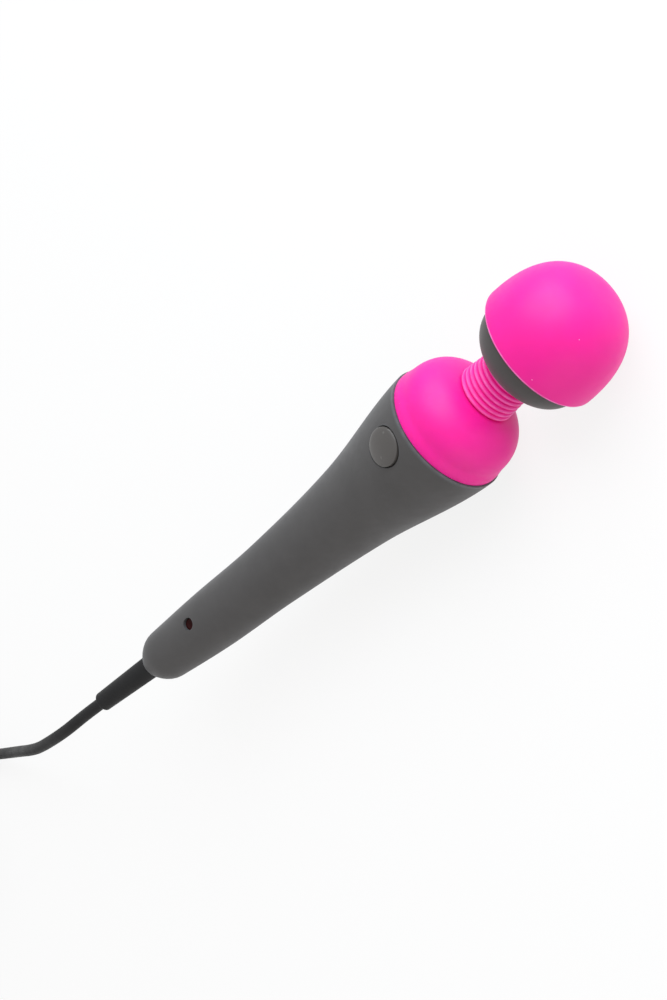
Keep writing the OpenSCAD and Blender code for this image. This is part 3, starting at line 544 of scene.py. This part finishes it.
for side, word in ((-1, "left"), (1, "right")):
    lower = straight_lead(side, lead_low, neck_join)
    bend_lower(strand("lead_low_" + word, lower, lead_r, "red_lead", "motor_leads"))
    upper = straight_lead(side, neck_join, lead_high - 0.8)
    upper += [wand_point(side * (lead_x + 0.25), lead_high - 0.25, 0),
              wand_point(side * (lead_x + 0.9), lead_high, 0),
              wand_point(side * (terminal_x - 0.1), lead_high, 0)]
    bend_upper(strand("lead_high_" + word, upper, lead_r, "red_lead", "motor_leads"))
print("leads from", round(lead_low, 2), "to", round(lead_high, 2))

# %% [markdown]
# ## The curved handle
# The handle is a loft: round sections of changing radius along a centre line that lifts
# towards the tail. A smooth Hermite curve joins the radii that a maker would gauge. The
# sections lean with the centre line, so the tail stays round.

# %% The handle's form
gauges = [(0, shoulder_r), (40, 13.9), (80, 10.7), (108, 9.8), (handle_length, 8)]
rim_slope = -0.05
tail_rise, tail_round, sleeve_wall = 11.6, 3, 1.4
tail_nose, nose_length, nose_lip, relief_r = 2.6, 7.6, 0.2, 3.8
sleeve_end = handle_length + tail_nose


def gauge_slope(i):
    """How fast the radius changes at a gauge, from the gauges on either side."""
    if i == 0:
        return rim_slope
    a, b = i - 1, min(i + 1, len(gauges) - 1)
    return (gauges[b][1] - gauges[a][1]) / (gauges[b][0] - gauges[a][0])


def body_radius(s):
    """The handle's radius at s millimetres from the rim."""
    i = max(k for k in range(len(gauges) - 1) if s >= gauges[k][0] or k == 0)
    (s0, r0), (s1, r1) = gauges[i], gauges[i + 1]
    gap, t = s1 - s0, (s - s0) / (s1 - s0)
    return (r0 * (2 * t ** 3 - 3 * t * t + 1)
            + gauge_slope(i) * gap * (t ** 3 - 2 * t * t + t)
            + r1 * (3 * t * t - 2 * t ** 3)
            + gauge_slope(i + 1) * gap * (t ** 3 - t * t))


def centre_rise(s):
    return tail_rise * (max(s, 0) / handle_length) ** 2


def lean(s):
    return math.atan(2 * tail_rise * max(s, 0) / handle_length ** 2)


def ring_point(a, s, r):
    """A point of the leaning section s millimetres from the rim."""
    across, out = r * math.cos(a), r * math.sin(a)
    return Vector((across, rim_y / MM - s + out * math.sin(lean(s)),
                   axis_z / MM + centre_rise(s) + out * math.cos(lean(s))))


print("radius at the palm", round(body_radius(100), 2),
      "tail", round(body_radius(handle_length), 2))

# %% The handle's surface
def skin_end(inset):
    """Where a skin ends, and the length over which it draws in: a nose for the outer
    skin, a rounded edge for the inner one."""
    if inset:
        return handle_length - inset, max(tail_round - inset, 0.6)
    return sleeve_end, nose_length


def skin_point(a, s, inset=0):
    """A point of the handle's skin, moved inwards by inset."""
    end, length = skin_end(inset)
    t = min(max(1 - (end - s) / length, 0), 1)
    if inset:
        drawn_in = length * (1 - math.sqrt(1 - t * t))
    else:
        drawn_in = (body_radius(sleeve_end) - relief_r - nose_lip) * t * t
    return ring_point(a, s, body_radius(s) - inset - drawn_in)


def top_height(s):
    return centre_rise(s) + body_radius(s)


def on_grip(s):
    """A frame on the grip's top surface: Z out of the surface, Y towards the head."""
    slope = math.atan((top_height(s - 1) - top_height(s + 1)) / 2)
    place = (0, rim_y / MM - s, axis_z / MM + top_height(s))
    return Matrix.Translation(place) @ Matrix.Rotation(slope, 4, "X")


print("the nose ends at radius", round(skin_point(0, sleeve_end).x, 2))

# %% [markdown]
# ## The soft grip sleeve
# The sleeve has three openings: the button's, the indicator's and the cord's. Cutting
# holes with a boolean leaves long thin faces that shade badly, so the skin is a grid of
# quads in which a small block round each hole is replaced by rings that turn from a
# square into a circle. The inner skin has the same layout, and the two are sewn at
# their edges, which are marked to be painted paler, a painted highlight and partly
# wear:
# most at the rim, least round the cord.

# %% The grid and its holes
sides, rows_between, rows_after, nose_rows = 96, 72, 16, 8
button_at, button_hole_r = 9, 6.05
indicator_at, indicator_hole_r = 109, 2
tail_hole_r = relief_r - 0.9
holes = [
    {"at": button_at, "r": button_hole_r, "across": 7, "from": 1.2, "to": 16.8,
     "rows": 13},
    {"at": indicator_at, "r": indicator_hole_r, "across": 5, "from": 105.8, "to": 112.2,
     "rows": 6},
]
first_rows = (1, 1 + holes[0]["rows"] + rows_between)


def skin_rows(inset):
    """Places of the grid's rows, with rows on the edges of each hole's block."""
    end, length = skin_end(inset)
    stops = [0, *(h[k] for h in holes for k in ("from", "to")), end - length]
    counts = [1, holes[0]["rows"], rows_between, holes[1]["rows"], rows_after]
    places = [0]
    for a, b, n in zip(stops, stops[1:], counts):
        places += [a + (b - a) * (k + 1) / n for k in range(n)]
    return places + [end - length + length * math.sin(math.radians(90 * k / nose_rows))
                     for k in range(1, nose_rows + 1)]


print(len(skin_rows(0)), "rows of", sides, "points")

# %% A round hole in the grid
def drop_on_skin(x, along, frame_back, s, inset):
    """The skin's point under a point of a hole's frame, found in a few steps."""
    for _ in range(5):
        a = math.acos(max(-1, min(1, x / (body_radius(s) - inset))))
        point = skin_point(a, s, inset)
        s += (frame_back @ point).y - along
    return point


def block_edge(grid, hole, first):
    """The points round a hole's block, in order, and the quads that it skips."""
    last, mid = first + hole["rows"], sides // 4
    block = range(mid - hole["across"], mid + hole["across"] + 1)
    edge = [grid[first][k] for k in block]
    edge += [grid[i][block[-1]] for i in range(first + 1, last)]
    edge += [grid[last][k] for k in reversed(block)]
    edge += [grid[i][block[0]] for i in range(last - 1, first, -1)]
    return edge, {(i, k) for i in range(first, last) for k in block[:-1]}


def round_hole(bm, edge, hole, inset, steps=5):
    """Fills a block with rings, from its square edge to the round hole."""
    back = on_grip(hole["at"]).inverted()
    ring, spots = edge, [back @ (v.co / MM) for v in edge]
    for step in range(1, steps + 1):
        t = step / steps
        made = []
        for spot in spots:
            a = math.atan2(spot.y, spot.x)
            x = spot.x + (hole["r"] * math.cos(a) - spot.x) * t
            y = spot.y + (hole["r"] * math.sin(a) - spot.y) * t
            made.append(bm.verts.new(
                drop_on_skin(x, y, back, hole["at"] - y, inset) * MM))
        sew(bm, ring, made)
        ring = made
    return ring


print("holes of radius", [hole["r"] for hole in holes], "at rows", first_rows)

# %% Two sheets make the skin
def skin_sheet(bm, inset):
    """One sheet of the sleeve. Returns its open edges, from the rim to the tail."""
    places = skin_rows(inset)
    around = [2 * math.pi * k / sides for k in range(sides)]
    grid = [[bm.verts.new(skin_point(a, s, inset) * MM) for a in around]
            for s in places]
    loops, skipped = [grid[0]], set()
    for hole, first in zip(holes, first_rows):
        edge, block = block_edge(grid, hole, first)
        loops.append(round_hole(bm, edge, hole, inset))
        skipped |= block
    for i in range(len(grid) - 1):
        for k in range(sides):
            if (i, k) not in skipped:
                n = (k + 1) % sides
                bm.faces.new((grid[i][k], grid[i][n], grid[i + 1][n], grid[i + 1][k]))
    ring, s = grid[-1], places[-1]
    r_end = (ring[0].co / MM).x
    for t in (0.34, 0.67, 1):
        r = r_end + (tail_hole_r - r_end) * t
        made = [bm.verts.new(ring_point(a, s, r) * MM) for a in around]
        sew(bm, ring, made)
        ring = made
    return [*loops, ring]


bm = bmesh.new()
highlight_and_wear = bm.verts.layers.float.new("highlight_and_wear")
outer_edges, inner_edges = skin_sheet(bm, 0), skin_sheet(bm, sleeve_wall)
# the edges' marks paint them paler, a painted highlight and partly wear: most at the
# rim
for share, outer, inner in zip((1, 0.35, 0.35, 0.2), outer_edges, inner_edges):
    sew(bm, outer, inner)
    for point in (*outer, *inner):
        point[highlight_and_wear] = share
grip = add_piece("grip_skin", bm, "handle", replaced=["grip_sleeve"], slot="soft_grip")
print("grip", len(grip.data.polygons), "faces")

# %% Soften the sleeve's edges
def soften_edges(piece, width):
    """Rounds a piece's sharp edges with a bevel of a width in millimetres."""
    bevel = piece.modifiers.new("soft_edges", "BEVEL")
    bevel.width, bevel.segments = width * MM, 3
    bevel.limit_method, bevel.angle_limit = "ANGLE", math.radians(50)


soften_edges(grip, 0.28)
even = grip.modifiers.new("even_shading", "WEIGHTED_NORMAL")
even.keep_sharp = False
print(grip.name, "has", [modifier.name for modifier in grip.modifiers])

# %% [markdown]
# ## Button, indicator and strain relief
# The button is a round cap with a low crown that rolls over at its edge, and the
# indicator a small lens, its own deep red darkened nearly to black as painted shade,
# sunk a good millimetre below the skin. Both are turned about the surface's own
# upright. The strain relief is a smooth rubber cone that narrows to the cord.

# %% Button and indicator
def in_metres(place):
    """The same frame with its origin in metres, as pieces need it."""
    moved = place.copy()
    moved.translation = place.translation * MM
    return moved


button_r, button_proud, button_crown = 5.7, 0.2, 0.7
pillow, crown_steps = 0.95, 27
button_outline = [(0, -5.6), (button_r, -5.6), (button_r, -1.2)]
for k in range(crown_steps + 1):
    share = math.cos(math.radians(90 * k / crown_steps))
    drop = pillow * (0.75 * share ** 2 + 0.25 * share ** 12)
    button_outline.append((button_r * share, button_proud + button_crown - drop))
button = turned("button_top", button_outline, "button", in_metres(on_grip(button_at)),
                sides=96, replaced=["button_cap"], slot="button_plastic")

lens_outline = rounded([(0, -4, 0), (1.9, -4, 0), (1.9, -1.1, 0.25), (1.5, -1.1, 0.2),
                        (0.6, -1.4, 0.3), (0, -1.45, 0)])
lens = turned("indicator_top", lens_outline, "handle", in_metres(on_grip(indicator_at)),
              sides=48, closed=False, replaced=["indicator_lens"], slot="lens_red")
print_sizes(button, lens)

# %% Strain relief
tail_place = (0, rim_y / MM - handle_length, axis_z / MM + tail_rise)
tail_turn = math.pi / 2 - lean(handle_length)
at_tail = Matrix.Translation(tail_place) @ Matrix.Rotation(tail_turn, 4, "X")
root, end = tail_nose + 0.1, tail_nose + 24
bore_r, bore_depth, tip_r = 2.2, 2.6, 3.2
flange_r, flange_low, flange_high = 3.6, -4.5, -3.1
relief_corners = [
    (bore_r, end - bore_depth, 0), (0, end - bore_depth, 0), (0, flange_low, 0),
    (flange_r, flange_low, 0), (flange_r, flange_high, 0),
    (relief_r - 1, flange_high, 0), (relief_r - 1, root, 0), (relief_r, root, 0.3),
    (tip_r, end, 0.7), (bore_r, end, 0.25)]
relief = turned("relief_boot", rounded(relief_corners, 4), "handle", in_metres(at_tail),
                sides=64, replaced=["strain_relief"], slot="black_rubber")
print_sizes(relief)

# %% [markdown]
# ## The adapter
# The plug-in power adapter is a small box with rounded edges and a back cover. A cube
# bevelled in two passes, its long edges first, gives the soft moulded look.

# %% Adapter
def soft_box(name, node, rounding, body):
    """A box in a node's place, its long edges well rounded and the rest softened."""
    low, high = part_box(node)
    bm = bmesh.new()
    bmesh.ops.create_cube(bm, size=1)
    bmesh.ops.transform(bm, verts=bm.verts, matrix=Matrix.Translation((low + high) / 2)
                        @ Matrix.Diagonal((*(high - low), 1)))
    long_edges = [e for e in bm.edges
                  if abs((e.verts[0].co - e.verts[1].co).normalized().y) > 0.9]
    bmesh.ops.bevel(bm, geom=long_edges, offset=rounding * MM, segments=8,
                    affect="EDGES", profile=0.5)
    piece = add_piece(name, bm, body, replaced=[node], slot="black_plastic")
    soften_edges(piece, 0.8)
    return piece


adapter_case = soft_box("adapter_box", "adapter_case", rounding=5, body="handle")
adapter_cover = soft_box("adapter_lid", "adapter_cover", rounding=5, body="handle")
print_sizes(adapter_case, adapter_cover)

print("declared", cord.name)

# %% [markdown]
# ## Effects shared by the finishes
# No real surface is one flat colour. Four small effects make the difference here: a
# fine grain left by the mould, broad marks left by handling, paler edges, which are
# wear and, on the silicone and the grip, a painted highlight, and a little dust. Each
# is a node group, built once, which a material can use with its own numbers. All of
# them are laid out by the piece's own coordinates, so they stay with the piece when a
# joint moves it.

# %% Helpers for node trees
def new_group(name, inputs, outputs):
    """An empty node group with named number inputs and outputs."""
    group = bpy.data.node_groups.new(name, "ShaderNodeTree")
    for label, value in inputs.items():
        socket = group.interface.new_socket(label, in_out="INPUT",
                                            socket_type="NodeSocketFloat")
        socket.default_value = value
    for label in outputs:
        group.interface.new_socket(label, in_out="OUTPUT",
                                   socket_type="NodeSocketFloat")
    return group, group.nodes.new("NodeGroupInput"), group.nodes.new("NodeGroupOutput")


def feed(tree, socket, value):
    """Wires an output into a socket, or sets the socket to a number or colour."""
    if isinstance(value, bpy.types.NodeSocket):
        tree.links.new(value, socket)
    elif value is not None:
        socket.default_value = value


def add_node(tree, kind, settings=None, **values):
    """A node with its settings and its inputs, which are named with _ for a space."""
    node = tree.nodes.new("ShaderNode" + kind)
    for key, value in (settings or {}).items():
        setattr(node, key, value)
    for label, value in values.items():
        feed(tree, node.inputs[label.replace("_", " ")], value)
    return node


def calc(tree, operation, *values):
    """A Math node's result."""
    node = tree.nodes.new("ShaderNodeMath")
    node.operation = operation
    for socket, value in zip(node.inputs, values):
        feed(tree, socket, value)
    return node.outputs[0]


def remap(tree, value, low, high, to_low, to_high):
    """A value's range moved to another, and kept inside it."""
    node = add_node(tree, "MapRange", Value=value, From_Min=low, From_Max=high,
                    To_Min=to_low, To_Max=to_high)
    return node.outputs["Result"]


def own_coordinates(tree):
    return tree.nodes.new("ShaderNodeTexCoord").outputs["Object"]


# %% Fine grain
grain, gin, gout = new_group("fine_grain", {"Scale": 2500}, ["Height", "Tone"])
place = own_coordinates(grain)
fine = add_node(grain, "TexNoise", Vector=place, Scale=gin.outputs["Scale"], Detail=3)
broad = add_node(grain, "TexNoise", Vector=place, Detail=4, Roughness=0.6,
                 Scale=calc(grain, "MULTIPLY", gin.outputs["Scale"], 0.05))
feed(grain, gout.inputs["Height"], fine.outputs[0])
feed(grain, gout.inputs["Tone"], remap(grain, broad.outputs[0], 0.3, 0.7, 0, 1))
print(grain.name, "outputs", [s.name for s in gout.inputs if s.name])

# %% Handling marks
marks, gin, gout = new_group("handling_marks", {"Scale": 45, "Low": 0.45, "High": 0.6},
                             ["Roughness"])
place = own_coordinates(marks)
warp = add_node(marks, "TexNoise", Vector=place, Scale=gin.outputs["Scale"], Detail=5,
                Roughness=0.55, Distortion=0.8)
small = add_node(marks, "TexNoise", Vector=place, Detail=2,
                 Scale=calc(marks, "MULTIPLY", gin.outputs["Scale"], 9))
mixed = calc(marks, "ADD", calc(marks, "MULTIPLY", warp.outputs[0], 0.75),
             calc(marks, "MULTIPLY", small.outputs[0], 0.25))
feed(marks, gout.inputs["Roughness"],
     remap(marks, mixed, 0.38, 0.62, gin.outputs["Low"], gin.outputs["High"]))
print(marks.name, "gives a roughness between Low and High")

# %% Edge wear and painted highlight
wear_highlight_group, gin, gout = new_group(
    "edge_wear_and_highlight", {"Edge": 0, "Low": 0.5, "High": 0.6, "Scale": 400}, ["Wear"])
patchy = add_node(wear_highlight_group, "TexNoise", Vector=own_coordinates(wear_highlight_group),
                  Scale=gin.outputs["Scale"], Detail=3)
edge = remap(wear_highlight_group, gin.outputs["Edge"], gin.outputs["Low"], gin.outputs["High"], 0, 1)
feed(wear_highlight_group, gout.inputs["Wear"],
     calc(wear_highlight_group, "MULTIPLY", edge, remap(wear_highlight_group, patchy.outputs[0], 0.35, 0.65, 0.5, 1)))
print(wear_highlight_group.name, "breaks up an edge mask")

# %% Dust specks
dust, gin, gout = new_group(
    "dust_specks", {"Scale": 120, "Size": 0.06, "Share": 0.1}, ["Speck"])
cells = add_node(dust, "TexVoronoi", Vector=own_coordinates(dust),
                 Scale=gin.outputs["Scale"])
chance = add_node(dust, "SeparateColor", Color=cells.outputs["Color"])
near = calc(dust, "LESS_THAN", cells.outputs["Distance"],
            calc(dust, "MULTIPLY", gin.outputs["Size"], chance.outputs[1]))
chosen = calc(dust, "LESS_THAN", chance.outputs[0], gin.outputs["Share"])
feed(dust, gout.inputs["Speck"], calc(dust, "MULTIPLY", near, chosen))
print(dust.name, "keeps a share of the cells and puts one speck in each")

# %% [markdown]
# ## A finish from a few driving values
# Most of the pieces are moulded, so one recipe serves them: a colour that drifts
# between two close shades, a roughness from the handling marks, a bump from the grain
# and paler edges, where wear polishes them and, on the silicone and the grip, where a
# highlight is painted. The edges come from the marks on a mesh or else from Pointiness,
# which is high on outer corners. Values that are the same all over go straight onto
# the shader. A finish that needs more, such as the weave of the tie, adds it
# afterwards.

# %% The moulded finish
def use_group(tree, group, **values):
    node = tree.nodes.new("ShaderNodeGroup")
    node.node_tree = group
    for label, value in values.items():
        feed(tree, node.inputs[label], value)
    return node.outputs


def blend_colour(tree, share, a, b):
    node = tree.nodes.new("ShaderNodeMix")
    node.data_type = "RGBA"
    feed(tree, node.inputs[0], share)
    feed(tree, node.inputs[6], a if isinstance(a, bpy.types.NodeSocket) else (*a, 1))
    feed(tree, node.inputs[7], b if isinstance(b, bpy.types.NodeSocket) else (*b, 1))
    return node.outputs[2]


def wear_and_highlight_mask(tree, edges):
    """How much paler each point is painted: from the mesh's own marks, a painted
    highlight and partly wear, or else from its corners, as wear.
    """
    if edges:
        mask = add_node(tree, "Attribute", {"attribute_name": edges}).outputs["Fac"]
        return use_group(tree, wear_highlight_group, Edge=mask, Low=0.1, High=0.9)["Wear"]
    mask = tree.nodes.new("ShaderNodeNewGeometry").outputs["Pointiness"]
    return use_group(tree, wear_highlight_group, Edge=mask, Low=0.53, High=0.62)["Wear"]


finishes = {}


def moulded(slot, colour, low, high, grain_scale=2500, bump=0.02, drift=0.12, wear_and_highlight_colour=None,
            edges=None, **shader_values):
    """A finish for a slot. low and high bound its roughness; the edge colour is that of
    its paler edges, wear and, where the mesh marks them, a painted highlight; edges
    names the mesh's own marks of them, where it has any."""
    material = bpy.data.materials.new(slot)
    material.use_nodes = True
    tree = material.node_tree
    shader = tree.nodes["Principled BSDF"]
    grained = use_group(tree, grain, Scale=grain_scale)
    darker = tuple(c * (1 - drift) for c in colour)
    lighter = tuple(min(c * (1 + drift), 1) for c in colour)
    shade = blend_colour(tree, grained["Tone"], darker, lighter)
    if wear_and_highlight_colour:
        shade = blend_colour(tree, wear_and_highlight_mask(tree, edges), shade, wear_and_highlight_colour)
    feed(tree, shader.inputs["Base Color"], shade)
    feed(tree, shader.inputs["Roughness"],
         use_group(tree, marks, Scale=45, Low=low, High=high)["Roughness"])
    lift = add_node(tree, "Bump", Strength=0.6, Distance=bump * MM,
                    Height=grained["Height"])
    lift.name = "surface_bump"
    feed(tree, shader.inputs["Normal"], lift.outputs[0])
    for label, value in shader_values.items():
        feed(tree, shader.inputs[label.replace("_", " ")], value)
    finishes[slot] = material
    return material


# %% [markdown]
# ## Silicone, soft grip and rubber
# The pink skin is a satin silicone: saturated, a little translucent, so light that
# enters comes out nearby and softens the shading. A trace of dust clings to it, and a
# paler pink on its lip and ridge tops is a painted highlight. The grip has a soft-touch
# coat, whose fine fuzz catches light at grazing angles: that is the sheen. A pale
# blue-grey on its edges is a painted highlight, partly wear. The rubber of the cord and
# its relief is nearly black, darkened further as painted shade, and hardly shines.

# %% Pink silicone
# Its paler pink on the marked lip and ridge tops is a painted highlight.
silicone = moulded("pink_silicone", (0.88, 0.008, 0.31), 0.43, 0.53, grain_scale=1800,
                   bump=0.012, drift=0.03, Subsurface_Weight=0.2,
                   Subsurface_Radius=(1, 0.25, 0.5), Subsurface_Scale=0.002,
                   Specular_IOR_Level=0.36, wear_and_highlight_colour=(1, 0.22, 0.62), edges="highlight_and_wear",
                   Sheen_Weight=0.04, Sheen_Roughness=0.35, Sheen_Tint=(1, 0.5, 0.9, 1))
tree = silicone.node_tree
shader = tree.nodes["Principled BSDF"]
skin_colour = shader.inputs["Base Color"].links[0].from_socket
specks = use_group(tree, dust, Scale=560, Size=0.12, Share=0.05)
feed(tree, shader.inputs["Base Color"],
     blend_colour(tree, specks["Speck"], skin_colour, (1, 0.32, 0.66)))
print("silicone with", len(tree.nodes), "nodes")

# %% Soft grip, plastics and rubber
# The pale blue-grey of the grip's marked edges is a painted highlight, partly wear.
moulded("soft_grip", (0.053, 0.0505, 0.0505), 0.5, 0.62, grain_scale=3500, bump=0.015,
        drift=0.05, wear_and_highlight_colour=(0.115, 0.125, 0.135), edges="highlight_and_wear", Sheen_Weight=0.12,
        Sheen_Roughness=0.4, Sheen_Tint=(0.9, 0.95, 1, 1), Specular_IOR_Level=0.45)
moulded("cup_plastic", (0.043, 0.039, 0.038), 0.48, 0.58, bump=0.012, drift=0.04,
        wear_and_highlight_colour=(0.15, 0.15, 0.155), Sheen_Weight=0.1)
moulded("button_plastic", (0.046, 0.041, 0.038), 0.36, 0.44, bump=0.008, drift=0.04,
        wear_and_highlight_colour=(0.1, 0.095, 0.09), Coat_Weight=0.4, Coat_Roughness=0.38)
# Nearly black rubber, its colour darkened further as painted shade.
moulded("black_rubber", (0.009, 0.009, 0.0095), 0.5, 0.66, grain_scale=3000, bump=0.02,
        drift=0.15, wear_and_highlight_colour=(0.03, 0.03, 0.031), Specular_IOR_Level=0.22)
moulded("black_plastic", (0.02, 0.02, 0.021), 0.36, 0.5, grain_scale=2200, bump=0.03,
        wear_and_highlight_colour=(0.06, 0.06, 0.062))
moulded("shell_plastic", (0.045, 0.045, 0.048), 0.4, 0.52, bump=0.015,
        wear_and_highlight_colour=(0.09, 0.09, 0.095))
moulded("white_plastic", (0.72, 0.71, 0.68), 0.35, 0.48, bump=0.012, drift=0.04,
        wear_and_highlight_colour=(0.8, 0.8, 0.78))
print(len(finishes), "finishes so far")

# %% Lens and small electrical parts
# The lens's own deep red is taken nearly to black: painted shade for its recess.
moulded("lens_red", (0.02, 0.001, 0.001), 0.3, 0.4, bump=0.004, drift=0.25,
        Specular_IOR_Level=0.1)
moulded("led_red", (0.5, 0.02, 0.02), 0.15, 0.3, bump=0.004, Coat_Weight=0.3)
moulded("red_lead", (0.55, 0.02, 0.015), 0.35, 0.5, bump=0.01, drift=0.15)
moulded("capacitor_sleeve", (0.02, 0.03, 0.09), 0.25, 0.4, bump=0.01, drift=0.2)
moulded("board_laminate", (0.02, 0.14, 0.045), 0.3, 0.5, grain_scale=1500, bump=0.03,
        drift=0.3, Coat_Weight=0.2)
print(len(finishes), "finishes so far")

# %% [markdown]
# ## Metals and the tie
# A metal's colour is the colour of its reflection, so its finish lives in the
# roughness. The tie is a woven strip: two sets of waves, crossed, rise and fall as its
# threads do.

# %% Metals
for slot, colour, low, high in (("screw_steel", (0.5, 0.5, 0.5), 0.22, 0.42),
                                ("spring_steel", (0.6, 0.6, 0.62), 0.18, 0.34),
                                ("motor_steel", (0.62, 0.62, 0.6), 0.28, 0.45),
                                ("brass", (0.75, 0.52, 0.2), 0.2, 0.38)):
    moulded(slot, colour, low, high, grain_scale=4000, bump=0.01, drift=0.1,
            Metallic=1.0)
print(len(finishes), "finishes so far")

# %% Woven tie
woven = moulded("tie_fabric", (0.016, 0.016, 0.018), 0.75, 0.92, drift=0.25,
                Sheen_Weight=0.5)
tree = woven.node_tree
threads = []
for direction in ("X", "Y"):
    wave = add_node(tree, "TexWave", {"bands_direction": direction},
                    Vector=own_coordinates(tree), Scale=380, Distortion=0.6, Detail=1)
    threads.append(wave.outputs["Fac"])
weave = tree.nodes["surface_bump"].inputs
feed(tree, weave["Height"], calc(tree, "MAXIMUM", *threads))
feed(tree, weave["Distance"], 0.15 * MM)
print(len(finishes), "finishes in all")

# %% [markdown]
# ## Dressing the pieces
# The record says which finish each node has. A piece made here carries the name of its
# finish, so one loop dresses them all.

# %% Give every piece its finish
def dress(piece, slot):
    piece.data.materials.clear()
    piece.data.materials.append(finishes[slot])


slots = {part["node"]: part["material_slot"] for part in frame["record"]["subparts"]}
for name, node in nodes.items():
    dress(node, slots[name])
for obj in bpy.context.scene.objects:
    if "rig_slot" in obj and obj.type in ("MESH", "CURVE"):
        dress(obj, obj["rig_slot"])
print("dressed", len(nodes), "nodes")

# %% [markdown]
# ## Floor and light
# The wand lies on a plain pale floor in soft, even light. A wide lamp above and to the
# left models the round forms, a faint one opposite lifts their shadows, and a bright
# room fills the rest. The floor shows the camera and the reflections an almost white
# face, yet keeps the wand's shadow. It lies a hair under the pieces that rest on it, so
# that no two faces share a plane.

# %% Floor
def seen_rays(tree):
    """1 for the rays that show a thing itself: straight, mirrored or through glass."""
    path = tree.nodes.new("ShaderNodeLightPath")
    mirrored = calc(tree, "MAXIMUM", path.outputs["Is Glossy Ray"],
                    path.outputs["Is Transmission Ray"])
    return calc(tree, "MAXIMUM", path.outputs["Is Camera Ray"], mirrored)


floor_half, floor_z, white_share = 20, -0.1 * MM, 0.84
floor_mesh = bpy.data.meshes.new("floor")
floor_mesh.from_pydata([(x * floor_half, y * floor_half, floor_z)
                        for x, y in ((-1, -1), (1, -1), (1, 1), (-1, 1))],
                       [], [(0, 1, 2, 3)])
floor = bpy.data.objects.new("floor", floor_mesh)
bpy.context.scene.collection.objects.link(floor)
pale = bpy.data.materials.new("pale_floor")
pale.use_nodes = True
tree = pale.node_tree
tree.nodes.remove(tree.nodes["Principled BSDF"])
matt = add_node(tree, "BsdfDiffuse", Color=(0.9, 0.9, 0.9, 1))
glow = add_node(tree, "Emission", Color=(1, 1, 1, 1), Strength=1)
mix = add_node(tree, "MixShader")
feed(tree, mix.inputs[0], calc(tree, "MULTIPLY", seen_rays(tree), white_share))
feed(tree, mix.inputs[1], matt.outputs[0])
feed(tree, mix.inputs[2], glow.outputs[0])
feed(tree, tree.nodes["Material Output"].inputs["Surface"], mix.outputs[0])
floor.data.materials.append(pale)
print("floor", 2 * floor_half, "m wide")

# %% Room
scene = bpy.context.scene
scene.view_settings.view_transform = "Standard"
world = bpy.data.worlds.new("room")
scene.world = world
world.use_nodes = True
tree = world.node_tree
room = tree.nodes["Background"]
room.inputs["Color"].default_value = (1, 0.965, 0.93, 1)
room.inputs["Strength"].default_value = 0.5
backdrop = add_node(tree, "Background", Color=(1, 1, 1, 1), Strength=1)
both = add_node(tree, "MixShader")
feed(tree, both.inputs[0], seen_rays(tree))
feed(tree, both.inputs[1], room.outputs[0])
feed(tree, both.inputs[2], backdrop.outputs[0])
feed(tree, tree.nodes["World Output"].inputs["Surface"], both.outputs[0])
print("room light", room.inputs["Strength"].default_value)

# %% Lamps
def lamp(name, place, size, power, colour):
    """A square soft lamp aimed at the middle of the wand."""
    light = bpy.data.objects.new(name, bpy.data.lights.new(name, "AREA"))
    light.data.energy, light.data.size = power, size
    light.data.color = colour
    light.location = place
    aim = Vector((0, -0.03, 0.03)) - light.location
    light.rotation_euler = aim.to_track_quat("-Z", "Y").to_euler()
    scene.collection.objects.link(light)


lamp("window", place=(-0.45, 0.62, 0.55), size=1, power=13, colour=(0.88, 0.94, 1))
lamp("bounce", place=(0.62, 0.02, 0.16), size=0.5, power=0.8, colour=(1, 0.93, 0.88))
